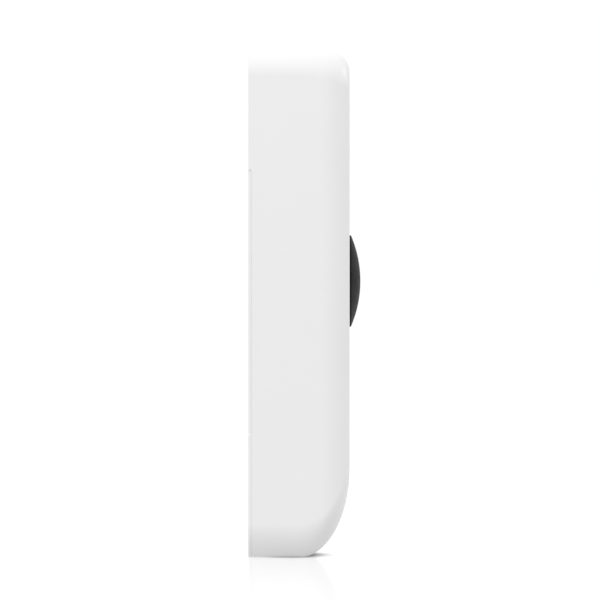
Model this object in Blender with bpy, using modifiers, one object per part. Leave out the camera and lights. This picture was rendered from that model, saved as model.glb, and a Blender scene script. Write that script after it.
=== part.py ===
"""Video doorbell for a wall or a door frame, as an assembly of separate pieces.

A white shell with a dark camera dome and a bell button hangs on a thin mounting bracket.
Frame: metres, +Z up, the visitor stands at -Y, and the wall is the plane y = 0. The origin is
the centre of the bracket's wall face. Most sizes below are a depth, measured from the wall
towards the visitor, so a depth d lies at y = -d.
"""

import math

import bmesh
import bpy
from mathutils import Matrix, Vector

MM = 0.001
GAP = 0.3 * MM

# Outer shape of the shell
BODY_WIDTH = 48.0 * MM
BODY_HEIGHT = 138.0 * MM
BODY_DEPTH = 27.2 * MM
RIM_DEPTH = 0.3 * MM
WALL = 1.8 * MM
CORNER_RADIUS = 9.0 * MM
FRONT_CORNER_RADIUS = 6.8 * MM
TOP_EDGE = (17.5 * MM, 8.25 * MM, 2.6)
SIDE_EDGE = (7.5 * MM, 4.5 * MM, 2.0)
CHIN_EDGE = (12.8 * MM, 22.6 * MM, 1.9)
HALF_WIDTH = BODY_WIDTH / 2
HALF_HEIGHT = BODY_HEIGHT / 2
INNER_HALF_WIDTH = HALF_WIDTH - WALL
INNER_HALF_HEIGHT = HALF_HEIGHT - WALL
FRONT_INSIDE = BODY_DEPTH - WALL

# Depths of the layers, from the wall to the front
PLATE_DEPTH = 1.4 * MM
COVER = (5.6 * MM, 7.2 * MM)
GASKET = (7.5 * MM, 8.3 * MM)
LEDGE = (8.6 * MM, 9.8 * MM)
MAIN_BOARD = (10.3 * MM, 11.5 * MM)
CAMERA_BOARD = (13.6 * MM, 14.8 * MM)
SENSOR_BOARD = (17.0 * MM, 18.0 * MM)
BUTTON_BOARD = (17.4 * MM, 18.4 * MM)

# Camera
DOME_Z = 5.2 * MM
DOME_RADIUS = 12.4 * MM
DOME_WALL = 1.2 * MM
DOME_RIM_DEPTH = BODY_DEPTH + 0.5 * MM
DOME_RISE = 2.55 * MM
DOME_FLANGE = (23.1 * MM, 24.3 * MM)
DOME_FLANGE_RADIUS = 14.6 * MM
DOME_SEAL = (24.6 * MM, 25.1 * MM)
DOME_SEAL_RADIUS = 13.0 * MM
RETAINER = (21.4 * MM, 22.8 * MM)
RETAINER_RADII = (12.0 * MM, 15.2 * MM)
LED_BOARD = (20.4 * MM, 21.1 * MM)
LED_BOARD_RADII = (8.7 * MM, 11.3 * MM)
LED_CIRCLE = 10.0 * MM
DOME_HOLE_RADIUS = DOME_RADIUS + GAP
FILTER_TRAVEL = 5.2 * MM
ROTOR_ARM = 6.8 * MM
ROTOR_RISE = 12.0 * MM
FILTER = (16.5 * MM, 17.5 * MM)
ARM = (17.8 * MM, 18.4 * MM)
CAMERA_POSTS = ((-13.5 * MM, DOME_Z + 14.5 * MM), (13.5 * MM, DOME_Z - 14.5 * MM))

# Bell button
BUTTON_Z = -28.0 * MM
BUTTON_RADIUS = 10.0 * MM
RING_RADIUS = 12.0 * MM
RING_HOLE_RADIUS = RING_RADIUS + GAP
BUTTON_STAKES = ((-16.6 * MM, BUTTON_Z), (16.6 * MM, BUTTON_Z))

# Motion sensor and microphone
PIR_Z = 44.0 * MM
PIR_HALF = (9.0 * MM, 4.2 * MM)
MIC_Z = 31.0 * MM
SENSOR_BOARD_Z = 38.5 * MM
SENSOR_STAKES = ((-14.5 * MM, 38.0 * MM), (14.5 * MM, 38.0 * MM))

# Speaker, in the chin, facing down
SPEAKER_DEPTH = 12.3 * MM
SPEAKER_FACE_Z = 3.0 * MM - INNER_HALF_HEIGHT
SLOT_COUNT = 5
SLOT_PITCH = 3.6 * MM

# Bracket and what holds the unit on it
PLATE_HALF = (21.8 * MM, 65.8 * MM)
FLANGE_TOP = 34.7 * MM
FLANGE_DEPTH = 0.8 * MM
RELIEF_LOW = -35.9 * MM
RELIEF_INSET = 0.3 * MM
HOOKS_X = (-9.0 * MM, 9.0 * MM)
HOOK_HALF_WIDTH = 2.6 * MM
HOOK_FRONT = 5.2 * MM
RIB_X = 16.5 * MM
RIB_HALF = (0.6 * MM, 58.0 * MM)
RIB_FRONT = 2.6 * MM
TAB_HALF_WIDTH = 4.0 * MM
TAB_THICKNESS = 1.4 * MM
SLOT_HALF = (2.1 * MM, 4.2 * MM)
HEAD_HALF = (4.0 * MM, 6.1 * MM)
HEAD_RECESS_DEPTH = 0.8 * MM
SWING_DEPTH = 2.9 * MM
SWING_Z = 65.8 * MM
SECURITY_DEPTH = 3.45 * MM
TAB_Z = -65.1 * MM
WALL_SLOTS_Z = (-48.0 * MM, 48.0 * MM)
CABLE_Z = 16.0 * MM
CABLE_HALF = (9.0 * MM, 10.0 * MM)
CABLE_CORNER = 2.5 * MM
TERMINALS = ((-8.5 * MM, -12.0 * MM), (8.5 * MM, -12.0 * MM))
RESET_X = 14.0 * MM
RESET_Z = 30.0 * MM

COVER_SCREWS = tuple((x * MM, z * MM) for x in (-16.4, 16.4) for z in (56.0, -56.0))
BOARD_SCREWS = tuple((x * MM, z * MM) for x in (-15.5, 15.5) for z in (46.0, -46.0))

FACE_FORWARD = (math.pi / 2, 0.0, 0.0)


# ---------------------------------------------------------------- scene and materials


def clear_scene():
    for obj in list(bpy.data.objects):
        bpy.data.objects.remove(obj)


def new_collection(name, parent=None):
    made = bpy.data.collections.new(name)
    (parent or bpy.context.scene.collection).children.link(made)
    return made


def make_material(name, colour, roughness, metallic=0.0, alpha=1.0):
    material = bpy.data.materials.new(name)
    material.use_nodes = True
    shader = material.node_tree.nodes["Principled BSDF"]
    shader.inputs["Base Color"].default_value = (*colour, 1.0)
    shader.inputs["Roughness"].default_value = roughness
    shader.inputs["Metallic"].default_value = metallic
    shader.inputs["Alpha"].default_value = alpha
    return material


clear_scene()
PARTS = new_collection("video_doorbell")
HELPERS = new_collection("helpers")

WHITE = make_material("white_plastic", (0.86, 0.86, 0.86), 0.4)
GREY = make_material("grey_plastic", (0.2, 0.2, 0.21), 0.5)
BLACK = make_material("black_plastic", (0.03, 0.03, 0.03), 0.5)
SMOKED = make_material("smoked_dome", (0.03, 0.03, 0.035), 0.15)
STEEL = make_material("steel", (0.6, 0.6, 0.6), 0.3, metallic=1.0)
BRASS = make_material("brass", (0.75, 0.6, 0.3), 0.3, metallic=1.0)
RUBBER = make_material("rubber", (0.05, 0.05, 0.05), 0.8)
BOARD = make_material("circuit_board", (0.02, 0.09, 0.05), 0.4)
GLASS = make_material("lens_glass", (0.1, 0.12, 0.18), 0.05, alpha=0.6)
FILTER_GLASS = make_material("filter_glass", (0.3, 0.08, 0.12), 0.05, alpha=0.7)
DIFFUSER = make_material("light_diffuser", (0.8, 0.82, 0.84), 0.4)
COPPER = make_material("copper", (0.7, 0.35, 0.2), 0.35, metallic=1.0)
CAPACITOR = make_material("capacitor_sleeve", (0.05, 0.07, 0.16), 0.45)


# ---------------------------------------------------------------- shapes


def place(obj, helper=False):
    """Links an object as a part of the doorbell, or as a helper that is cut or joined."""
    (HELPERS if helper else PARTS).objects.link(obj)
    if helper:
        obj.hide_render = True
        obj.display_type = "WIRE"
    return obj


def shade(mesh):
    mesh.shade_smooth()
    mesh.set_sharp_from_angle(angle=math.radians(35))


def box(name, low, high, helper=False):
    """A box between two corners given as (x, depth, z)."""
    size = Vector([b - a for a, b in zip(low, high)])
    mesh = bpy.data.meshes.new(name)
    shape = bmesh.new()
    bmesh.ops.create_cube(shape, size=1.0, matrix=Matrix.Diagonal((*size, 1.0)))
    shape.to_mesh(mesh)
    shape.free()
    obj = place(bpy.data.objects.new(name, mesh), helper)
    middle = [(a + b) / 2 for a, b in zip(low, high)]
    obj.location = (middle[0], -middle[1], middle[2])
    return obj


def turned(name, profile, x, z, segments=32, closed=False, helper=False, turn=FACE_FORWARD):
    """A round piece on an axis that runs from the wall to the front.

    The profile is (radius, depth) points that run down the outer side, front to back. With
    closed, it is the loop of a ring, and otherwise it starts and ends on the axis.
    """
    mesh = bpy.data.meshes.new(name)
    points = [(radius, 0.0, depth) for radius, depth in profile]
    edges = [(i, i + 1) for i in range(len(points) - 1)]
    if closed:
        edges.append((len(points) - 1, 0))
    mesh.from_pydata(points, edges, [])
    obj = place(bpy.data.objects.new(name, mesh), helper)
    obj.rotation_euler = turn
    obj.location = (x, 0.0, z)
    screw = obj.modifiers.new("turn", "SCREW")
    screw.steps = screw.render_steps = segments
    screw.use_merge_vertices = True
    screw.merge_threshold = 1e-6
    screw.use_smooth_shade = True
    screw.use_normal_calculate = False
    return obj


def disc(name, radius, depths, x, z, segments=32, helper=False):
    back, front = depths
    profile = [(0, front), (radius, front), (radius, back), (0, back)]
    return turned(name, profile, x, z, segments, helper=helper)


def tube(name, inner, outer, depths, x, z, segments=32, helper=False):
    back, front = depths
    loop = [(inner, front), (outer, front), (outer, back), (inner, back)]
    return turned(name, loop, x, z, segments, closed=True, helper=helper)


def rounded_rectangle(half_width, half_height, radius, steps=4):
    """Corner arcs, anticlockwise from the lower right."""
    corners = ((1, -1, -90), (1, 1, 0), (-1, 1, 90), (-1, -1, 180))
    points = []
    for side, up, start in corners:
        cx = side * (half_width - radius)
        cy = up * (half_height - radius)
        for i in range(steps + 1):
            angle = math.radians(start + 90 * i / steps)
            points.append((cx + radius * math.cos(angle), cy + radius * math.sin(angle)))
    return points


def below(outline, top):
    """The part of an outline under a height, closed by a straight line there."""
    return [(u, min(v, top)) for u, v in outline]


def relief_outline(side, level, direction):
    """What is taken off one side edge: a 45 degree slope from level outwards, then straight on."""
    margin = 1.0 * MM
    inner = side * (HALF_WIDTH - RELIEF_INSET)
    outer = side * (HALF_WIDTH + margin)
    slope_end = level + direction * (RELIEF_INSET + margin)
    return [(inner, level), (outer, slope_end), (outer, level), (outer, HALF_HEIGHT), (inner, HALF_HEIGHT)]


def plate(name, outlines, thickness, location, rotation=FACE_FORWARD, helper=False):
    """A flat piece of the given thickness, centred on location; outlines after the first are holes."""
    curve = bpy.data.curves.new(name, "CURVE")
    curve.dimensions = "2D"
    curve.fill_mode = "BOTH"
    curve.extrude = thickness / 2
    for outline in outlines:
        spline = curve.splines.new("POLY")
        spline.points.add(len(outline) - 1)
        for point, (u, v) in zip(spline.points, outline):
            point.co = (u, v, 0.0, 1.0)
        spline.use_cyclic_u = True
    drawn = bpy.data.objects.new(name + "_outline", curve)
    mesh = bpy.data.meshes.new_from_object(drawn)
    bpy.data.objects.remove(drawn)
    shape = bmesh.new()
    shape.from_mesh(mesh)
    bmesh.ops.remove_doubles(shape, verts=shape.verts, dist=1e-6)
    bmesh.ops.recalc_face_normals(shape, faces=shape.faces)
    shape.to_mesh(mesh)
    shape.free()
    mesh.name = name
    obj = place(bpy.data.objects.new(name, mesh), helper)
    obj.location = location
    obj.rotation_euler = rotation
    return obj


def slab(name, outlines, depths, x=0.0, z=0.0, helper=False):
    """A plate that lies parallel to the wall, between two depths."""
    back, front = depths
    return plate(name, outlines, front - back, (x, -(back + front) / 2, z), helper=helper)


def ribbon(name, path, x, width, thickness, helper=False):
    """A flat flexible cable: a strip along (depth, z) points, of a width along X."""
    mesh = bpy.data.meshes.new(name)
    left = [(x - width / 2, -depth, z) for depth, z in path]
    right = [(x + width / 2, -depth, z) for depth, z in path]
    count = len(path)
    faces = [(i, i + 1, count + i + 1, count + i) for i in range(count - 1)]
    mesh.from_pydata(left + right, [], faces)
    obj = place(bpy.data.objects.new(name, mesh), helper)
    solid = obj.modifiers.new("thickness", "SOLIDIFY")
    solid.thickness = thickness
    solid.offset = 0.0
    return obj


def combine(obj, operation, others):
    """Joins helpers to an object or cuts them from it, all in one Boolean."""
    if not isinstance(others, (list, tuple)):
        others = [others]
    group = new_collection(f"{obj.name}_{operation.lower()}_{len(obj.modifiers)}", HELPERS)
    group.hide_render = True
    for other in others:
        group.objects.link(other)
    modifier = obj.modifiers.new(operation.lower(), "BOOLEAN")
    modifier.operation = operation
    modifier.operand_type = "COLLECTION"
    modifier.collection = group
    modifier.solver = "EXACT"
    return obj


def join(obj, *others):
    return combine(obj, "UNION", others)


def cut(obj, *others):
    return combine(obj, "DIFFERENCE", others)


def screw_piece(name, x, z, head, tip, head_radius, shank_radius, head_height, recess=0.5 * MM):
    """A screw with a cross recess; head is the depth of its outer face, and tip that of its point."""
    way = 1 if tip > head else -1
    under = head + way * head_height
    half = [
        (0, head),
        (head_radius, head),
        (head_radius, under),
        (shank_radius, under),
        (shank_radius, tip),
        (0, tip),
    ]
    profile = half if way < 0 else half[::-1]
    screw = turned(name, profile, x, z, segments=12)
    arm = head_radius * 0.62
    blade = head_radius * 0.14
    low, high = sorted((head - way * recess, head + way * recess))
    across = box(name + "_slot", (x - arm, low, z - blade), (x + arm, high, z + blade), helper=True)
    upright = box(name + "_slot2", (x - blade, low, z - arm), (x + blade, high, z + arm), helper=True)
    return cut(screw, across, upright)


# ---------------------------------------------------------------- shell


def fallen(depth, edge):
    """How far a rounded edge has come in at a depth: a superellipse that ends at the front."""
    span, height, power = edge
    share = min(1.0, max(0.0, (depth - (BODY_DEPTH - span)) / span))
    return height * (1.0 - (1.0 - share**power) ** (1.0 / power))


def shell_ring(depth, steps=5):
    """The shell's outline at a depth, as points anticlockwise seen from the front."""
    inset = fallen(depth, SIDE_EDGE)
    half_width = HALF_WIDTH - inset
    top = HALF_HEIGHT - fallen(depth, TOP_EDGE)
    bottom = -HALF_HEIGHT + fallen(depth, CHIN_EDGE)
    tighter = (CORNER_RADIUS - FRONT_CORNER_RADIUS) * inset / SIDE_EDGE[1]
    outline = rounded_rectangle(half_width, (top - bottom) / 2, CORNER_RADIUS - tighter, steps)
    middle = (top + bottom) / 2
    return [(u, -depth, v + middle) for u, v in outline]


def shell_depths():
    """Depths of the outline rings, closer together where the chin turns into the front."""
    span, _, power = CHIN_EDGE
    start = BODY_DEPTH - span
    depths = [RIM_DEPTH, BODY_DEPTH - TOP_EDGE[0], 12.0 * MM, start]
    for degrees in (22, 38, 52, 64, 74, 82, 90):
        depths.append(start + span * math.sin(math.radians(degrees)) ** (2 / power))
    return depths


def shell_surface(name):
    """The outer skin: a loft through the rings, closed at the front and open at the wall."""
    shape = bmesh.new()
    rings = [[shape.verts.new(p) for p in shell_ring(d)] for d in shell_depths()]
    count = len(rings[0])
    for back, front in zip(rings, rings[1:]):
        for i in range(count):
            j = (i + 1) % count
            shape.faces.new((back[i], back[j], front[j], front[i]))
    shape.faces.new(rings[-1])
    bmesh.ops.recalc_face_normals(shape, faces=shape.faces)
    mesh = bpy.data.meshes.new(name)
    shape.to_mesh(mesh)
    shape.free()
    return mesh


def shell_additions():
    """What is moulded onto the inside of the shell."""
    overlap = 0.3 * MM
    boss_radius = 2.6 * MM
    reach = (INNER_HALF_WIDTH + overlap, INNER_HALF_HEIGHT + overlap)
    outer = rounded_rectangle(*reach, CORNER_RADIUS - WALL + overlap)
    inner = rounded_rectangle(20.0 * MM, 65.0 * MM, 5.2 * MM)
    made = [slab("ledge", [outer, inner], LEDGE, helper=True)]
    for x, z in COVER_SCREWS:
        wall = math.copysign(INNER_HALF_WIDTH + overlap, x)
        low = (min(x, wall), LEDGE[0], z - 0.6 * MM)
        high = (max(x, wall), 18.0 * MM, z + 0.6 * MM)
        made.append(disc("cover_boss", boss_radius, (COVER[1] + GAP, 18.5 * MM), x, z, 12, helper=True))
        made.append(box("boss_rib", low, high, helper=True))
    for x, z in CAMERA_POSTS:
        depths = (CAMERA_BOARD[1] + GAP, FRONT_INSIDE + 0.4 * MM)
        made.append(disc("camera_post", 1.9 * MM, depths, x, z, 12, helper=True))
    for stakes, board in ((BUTTON_STAKES, BUTTON_BOARD), (SENSOR_STAKES, SENSOR_BOARD)):
        for x, z in stakes:
            made.append(stake("stake", x, z, board))
    for x in HOOKS_X:
        low = (x - 3.0 * MM, 2.2 * MM, SWING_Z)
        high = (x + 3.0 * MM, 3.6 * MM, INNER_HALF_HEIGHT + overlap)
        made.append(box("hook_rib", low, high, helper=True))
    low = (-3.2 * MM, 1.7 * MM, -INNER_HALF_HEIGHT - overlap)
    high = (3.2 * MM, 5.2 * MM, TAB_Z - 0.7 * MM)
    made.append(box("security_boss", low, high, helper=True))
    return made


def stake(name, x, z, board):
    """A post with a thin pin that passes through a board and is melted over behind it."""
    shoulder = board[1] + GAP
    pin = board[0] - 0.9 * MM
    head = board[0] - GAP
    front = FRONT_INSIDE + 0.4 * MM
    profile = [(0, front), (1.8 * MM, front), (1.8 * MM, shoulder), (0.8 * MM, shoulder)]
    profile += [(0.8 * MM, head), (1.4 * MM, head), (1.1 * MM, pin), (0, pin)]
    return turned(name, profile, x, z, 10, helper=True)


def shell_cutters():
    """The holes in the shell: dome, button, sensor window, microphone, sound slots and screws."""
    through = (FRONT_INSIDE - 1.0 * MM, BODY_DEPTH + 1.0 * MM)
    window = rounded_rectangle(*PIR_HALF, PIR_HALF[1] - 1e-6, 6)
    made = [
        disc("dome_hole", DOME_HOLE_RADIUS, through, 0, DOME_Z, 40, helper=True),
        disc("button_hole", RING_HOLE_RADIUS, through, 0, BUTTON_Z, 32, helper=True),
        slab("window_hole", [window], through, 0, PIR_Z, helper=True),
        disc("microphone_hole", 0.6 * MM, through, 0, MIC_Z, 12, helper=True),
    ]
    for i in range(SLOT_COUNT):
        x = (i - (SLOT_COUNT - 1) / 2) * SLOT_PITCH
        slot = [rounded_rectangle(0.8 * MM, 1.9 * MM, 0.799 * MM, 3)]
        place_at = (x, -SPEAKER_DEPTH, -HALF_HEIGHT + WALL / 2)
        made.append(plate("sound_slot", slot, WALL + 2.0 * MM, place_at, (0, 0, 0), helper=True))
    margin = 1.0 * MM
    around = rounded_rectangle(HALF_WIDTH + margin, HALF_HEIGHT + margin, CORNER_RADIUS + margin)
    rim = (-margin, FLANGE_DEPTH + GAP)
    made.append(slab("flange_room", [below(around, FLANGE_TOP + GAP)], rim, helper=True))
    for side in (-1, 1):
        slant = relief_outline(side, FLANGE_TOP + GAP, 1)[:3]
        made.append(slab("relief_end", [slant], rim, helper=True))
    for x, z in COVER_SCREWS:
        made.append(disc("cover_pilot", 1.4 * MM, (COVER[1] - 1.0 * MM, 15.5 * MM), x, z, 12, helper=True))
    for x, z in CAMERA_POSTS:
        pilot = (CAMERA_BOARD[1] - 1.0 * MM, 21.0 * MM)
        made.append(disc("camera_pilot", 1.2 * MM, pilot, x, z, 12, helper=True))
    outside = -HALF_HEIGHT - margin
    made.append(upright_disc("security_hole", 1.3 * MM, outside, TAB_Z, helper=True))
    made.append(upright_disc("security_counterbore", 2.3 * MM, outside, -67.6 * MM, helper=True))
    return made


def upright_disc(name, radius, low, high, depth=SECURITY_DEPTH, segments=16, helper=False):
    """A cylinder whose axis stands up, at a depth, between two heights."""
    profile = [(0, high), (radius, high), (radius, low), (0, low)]
    obj = turned(name, profile, 0.0, 0.0, segments, helper=helper, turn=(0, 0, 0))
    obj.location = (0.0, -depth, 0.0)
    return obj


def make_shell():
    shell = place(bpy.data.objects.new("front_shell", shell_surface("front_shell")))
    wall = shell.modifiers.new("wall", "SOLIDIFY")
    wall.thickness = WALL
    wall.offset = -1.0
    wall.use_even_offset = True
    join(shell, *shell_additions())
    cut(shell, *shell_cutters())
    return [(shell, WHITE)]


# ---------------------------------------------------------------- bracket, cover and their screws


def make_bracket():
    """The wall plate, with a flange that meets the shell's rim, top hooks and a bottom tab."""
    outline = rounded_rectangle(*PLATE_HALF, 6.5 * MM)
    bracket = slab("mounting_bracket", [outline], (0.0, PLATE_DEPTH))
    shell_outline = rounded_rectangle(HALF_WIDTH, HALF_HEIGHT, CORNER_RADIUS, 5)
    flange = [below(shell_outline, FLANGE_TOP)]
    added = [slab("flange", flange, (0.0, FLANGE_DEPTH), helper=True)]
    for x in HOOKS_X:
        left, right = x - HOOK_HALF_WIDTH, x + HOOK_HALF_WIDTH
        reach = (left, 1.0 * MM, SWING_Z - 1.7 * MM), (right, HOOK_FRONT, SWING_Z - GAP)
        lip_low = (left, HOOK_FRONT - 1.1 * MM, SWING_Z - 0.8 * MM)
        lip_high = (right, HOOK_FRONT, SWING_Z + 0.8 * MM)
        added.append(box("hook_reach", *reach, helper=True))
        added.append(box("hook_lip", lip_low, lip_high, helper=True))
    tab = (-TAB_HALF_WIDTH, 1.0 * MM, TAB_Z), (TAB_HALF_WIDTH, 5.0 * MM, TAB_Z + TAB_THICKNESS)
    added.append(box("clamp_tab", *tab, helper=True))
    for side in (-1, 1):
        low = (side * RIB_X - RIB_HALF[0], 1.0 * MM, -RIB_HALF[1])
        high = (side * RIB_X + RIB_HALF[0], RIB_FRONT, RIB_HALF[1])
        added.append(box("stiffening_rib", low, high, helper=True))
    join(bracket, *added)
    through = (-1.0 * MM, 3.0 * MM)
    slot = rounded_rectangle(*SLOT_HALF, SLOT_HALF[0] - 0.001 * MM, 6)
    holes = [slab("wall_slot", [slot], through, 0, z, helper=True) for z in WALL_SLOTS_Z]
    cable = rounded_rectangle(*CABLE_HALF, CABLE_CORNER)
    holes.append(slab("cable_hole", [cable], through, 0, CABLE_Z, helper=True))
    for side in (-1, 1):
        relief = relief_outline(side, RELIEF_LOW, -1)
        holes.append(slab("edge_relief", [relief[:2] + relief[3:]], through, helper=True))
    sunk = rounded_rectangle(*HEAD_HALF, HEAD_HALF[0] - 0.001 * MM, 6)
    recess = (HEAD_RECESS_DEPTH, through[1])
    holes += [slab("head_recess", [sunk], recess, 0, z, helper=True) for z in WALL_SLOTS_Z]
    cut(bracket, *holes)
    return [(bracket, WHITE)]


def make_cover():
    """The plate that closes the shell behind the boards, with posts that carry the main board."""
    half = (INNER_HALF_WIDTH - GAP, INNER_HALF_HEIGHT - GAP)
    radius = CORNER_RADIUS - WALL - GAP
    cover = slab("back_cover", [rounded_rectangle(*half, radius)], COVER)
    posts = [
        disc("board_post", 2.2 * MM, (COVER[0] + 0.5 * MM, MAIN_BOARD[0] - GAP), x, z, 12, helper=True)
        for x, z in BOARD_SCREWS
    ]
    join(cover, *posts)
    pilot = (8.0 * MM, 12.0 * MM)
    through = (COVER[0] - 1.0 * MM, COVER[1] + 1.0 * MM)
    holes = [disc("board_pilot", 1.1 * MM, pilot, x, z, 12, helper=True) for x, z in BOARD_SCREWS]
    holes += [disc("cover_hole", 1.5 * MM, through, x, z, 12, helper=True) for x, z in COVER_SCREWS]
    holes += [disc("terminal_hole", 1.6 * MM, through, x, z, 12, helper=True) for x, z in TERMINALS]
    holes.append(disc("reset_hole", 1.6 * MM, through, RESET_X, RESET_Z, 12, helper=True))
    label = rounded_rectangle(14.0 * MM, 11.0 * MM, 1.5 * MM, 3)
    recess = (COVER[0] - 1.0 * MM, COVER[0] + 0.25 * MM)
    holes.append(slab("label_recess", [label], recess, 0, -34.0 * MM, helper=True))
    cut(cover, *holes)
    return [(cover, GREY)]


def make_seals_and_screws():
    half = (INNER_HALF_WIDTH - GAP, INNER_HALF_HEIGHT - GAP)
    outer = rounded_rectangle(*half, CORNER_RADIUS - WALL - GAP)
    inner = rounded_rectangle(20.4 * MM, 65.4 * MM, 5.4 * MM)
    made = [(slab("cover_gasket", [outer, inner], GASKET), RUBBER)]
    for i, (x, z) in enumerate(COVER_SCREWS):
        name = f"cover_screw_{i + 1}"
        screw = screw_piece(name, x, z, 4.3 * MM, 14.0 * MM, 2.2 * MM, 1.1 * MM, 1.0 * MM)
        made.append((screw, STEEL))
    for i, (x, z) in enumerate(BOARD_SCREWS):
        name = f"board_screw_{i + 1}"
        screw = screw_piece(name, x, z, 12.7 * MM, 8.4 * MM, 1.8 * MM, 0.8 * MM, 0.9 * MM)
        made.append((screw, STEEL))
    made.append((make_security_screw(), STEEL))
    return made


def make_security_screw():
    """Stands under the bracket's bottom tab and clamps against it."""
    head, under, tip = -68.8 * MM, -67.9 * MM, TAB_Z - GAP
    profile = [(0, tip), (0.7 * MM, tip), (1.0 * MM, tip - 0.3 * MM), (1.0 * MM, under)]
    profile += [(2.0 * MM, under), (2.0 * MM, head), (0, head)]
    screw = turned("security_screw", profile, 0, 0, 16, turn=(0, 0, 0))
    screw.location = (0.0, -SECURITY_DEPTH, 0.0)
    socket = [(0, -68.3 * MM), (0.85 * MM, -68.3 * MM), (0.85 * MM, -70.0 * MM), (0, -70.0 * MM)]
    drive = turned("security_socket", socket, 0, 0, 6, helper=True, turn=(0, 0, 0))
    drive.location = screw.location
    return cut(screw, drive)


def make_terminals():
    made = []
    for i, (x, z) in enumerate(TERMINALS):
        outline = rounded_rectangle(4.0 * MM, 4.0 * MM, 0.8 * MM, 2)
        tag = slab(f"terminal_{i + 1}", [outline], (4.5 * MM, 5.3 * MM), x, z)
        cut(tag, disc("terminal_clearance", 1.6 * MM, (4.0 * MM, 6.0 * MM), x, z, 12, helper=True))
        name = f"terminal_screw_{i + 1}"
        screw = screw_piece(name, x, z, 2.9 * MM, 9.4 * MM, 2.8 * MM, 1.25 * MM, 1.3 * MM)
        made += [(tag, BRASS), (screw, BRASS)]
    return made


def make_reset_button():
    profile = [(0, 8.1 * MM), (2.2 * MM, 8.1 * MM), (2.2 * MM, 7.5 * MM), (1.3 * MM, 7.5 * MM)]
    profile += [(1.3 * MM, 5.2 * MM), (1.1 * MM, 5.0 * MM), (0, 5.0 * MM)]
    return [(turned("reset_button", profile, RESET_X, RESET_Z, 16), BLACK)]


# ---------------------------------------------------------------- camera


def dome_arc(radius, base_radius, apex, steps):
    """Points of a spherical cap, from its top on the axis out to base_radius."""
    widest = math.asin(base_radius / radius)
    return [
        (radius * math.sin(widest * i / steps), apex - radius + radius * math.cos(widest * i / steps))
        for i in range(steps + 1)
    ]


def make_dome():
    """The smoked window: a shallow spherical cap on a short cylinder, with a flange behind the wall."""
    sphere = (DOME_RADIUS**2 + DOME_RISE**2) / (2 * DOME_RISE)
    apex = DOME_RIM_DEPTH + DOME_RISE
    inner_radius = DOME_RADIUS - DOME_WALL
    outside = dome_arc(sphere, DOME_RADIUS, apex, 6)
    inside = dome_arc(sphere - DOME_WALL, inner_radius, apex - DOME_WALL, 3)
    back, front = DOME_FLANGE
    profile = outside + [(DOME_RADIUS, front), (DOME_FLANGE_RADIUS, front), (DOME_FLANGE_RADIUS, back)]
    profile += [(inner_radius, back)] + inside[::-1]
    dome = turned("camera_dome", profile, 0, DOME_Z, 40)
    seal = tube("dome_gasket", DOME_SEAL_RADIUS, DOME_FLANGE_RADIUS, DOME_SEAL, 0, DOME_Z, 32)
    retainer = tube("dome_retainer", *RETAINER_RADII, RETAINER, 0, DOME_Z, 32)
    return [(dome, SMOKED), (seal, RUBBER), (retainer, BLACK)]


def make_lens():
    barrel_profile = [
        (5.9 * MM, 27.2 * MM),
        (6.7 * MM, 27.4 * MM),
        (6.9 * MM, 27.2 * MM),
        (6.9 * MM, 20.1 * MM),
        (5.7 * MM, 20.1 * MM),
        (5.7 * MM, 18.7 * MM),
        (2.6 * MM, 18.7 * MM),
        (2.6 * MM, 19.2 * MM),
        (3.9 * MM, 19.2 * MM),
        (3.9 * MM, 21.0 * MM),
        (2.4 * MM, 21.0 * MM),
        (2.4 * MM, 24.0 * MM),
        (5.9 * MM, 24.0 * MM),
    ]
    barrel = turned("lens_barrel", barrel_profile, 0, DOME_Z, 24, closed=True)
    front = dome_arc(11.5 * MM, 5.6 * MM, 28.0 * MM, 4)
    front += [(5.6 * MM, 25.2 * MM), (4.6 * MM, 24.6 * MM), (0, 24.3 * MM)]
    rear = [(0, 20.7 * MM), (2.4 * MM, 20.5 * MM), (3.6 * MM, 20.2 * MM)]
    rear += [(3.6 * MM, 19.5 * MM), (0, 19.5 * MM)]
    baffle = tube("light_baffle", 7.3 * MM, 8.3 * MM, (21.8 * MM, 27.4 * MM), 0, DOME_Z, 24)
    return [
        (barrel, BLACK),
        (turned("front_lens", front, 0, DOME_Z, 24), GLASS),
        (turned("rear_lens", rear, 0, DOME_Z, 24), GLASS),
        (baffle, RUBBER),
    ]


def make_lens_holder():
    """The box under the lens, open towards the sensor, that the filter slides in."""
    half = rounded_rectangle(10.0 * MM, 9.0 * MM, 1.2 * MM, 3)
    holder = slab("lens_holder", [half], (15.1 * MM, 19.8 * MM), 0, DOME_Z)
    cavity = slab(
        "filter_cavity",
        [rounded_rectangle(8.8 * MM, 7.8 * MM, 0.6 * MM, 2)],
        (14.0 * MM, 18.8 * MM),
        0,
        DOME_Z,
        helper=True,
    )
    bore = disc("lens_bore", 6.0 * MM, (18.0 * MM, 21.0 * MM), 0, DOME_Z, 32, helper=True)
    low = (-5.0 * MM, 17.4 * MM, DOME_Z + 7.0 * MM)
    high = (5.0 * MM, 18.7 * MM, DOME_Z + 10.0 * MM)
    cut(holder, cavity, bore, box("arm_window", low, high, helper=True))
    return [(holder, BLACK)]


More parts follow.
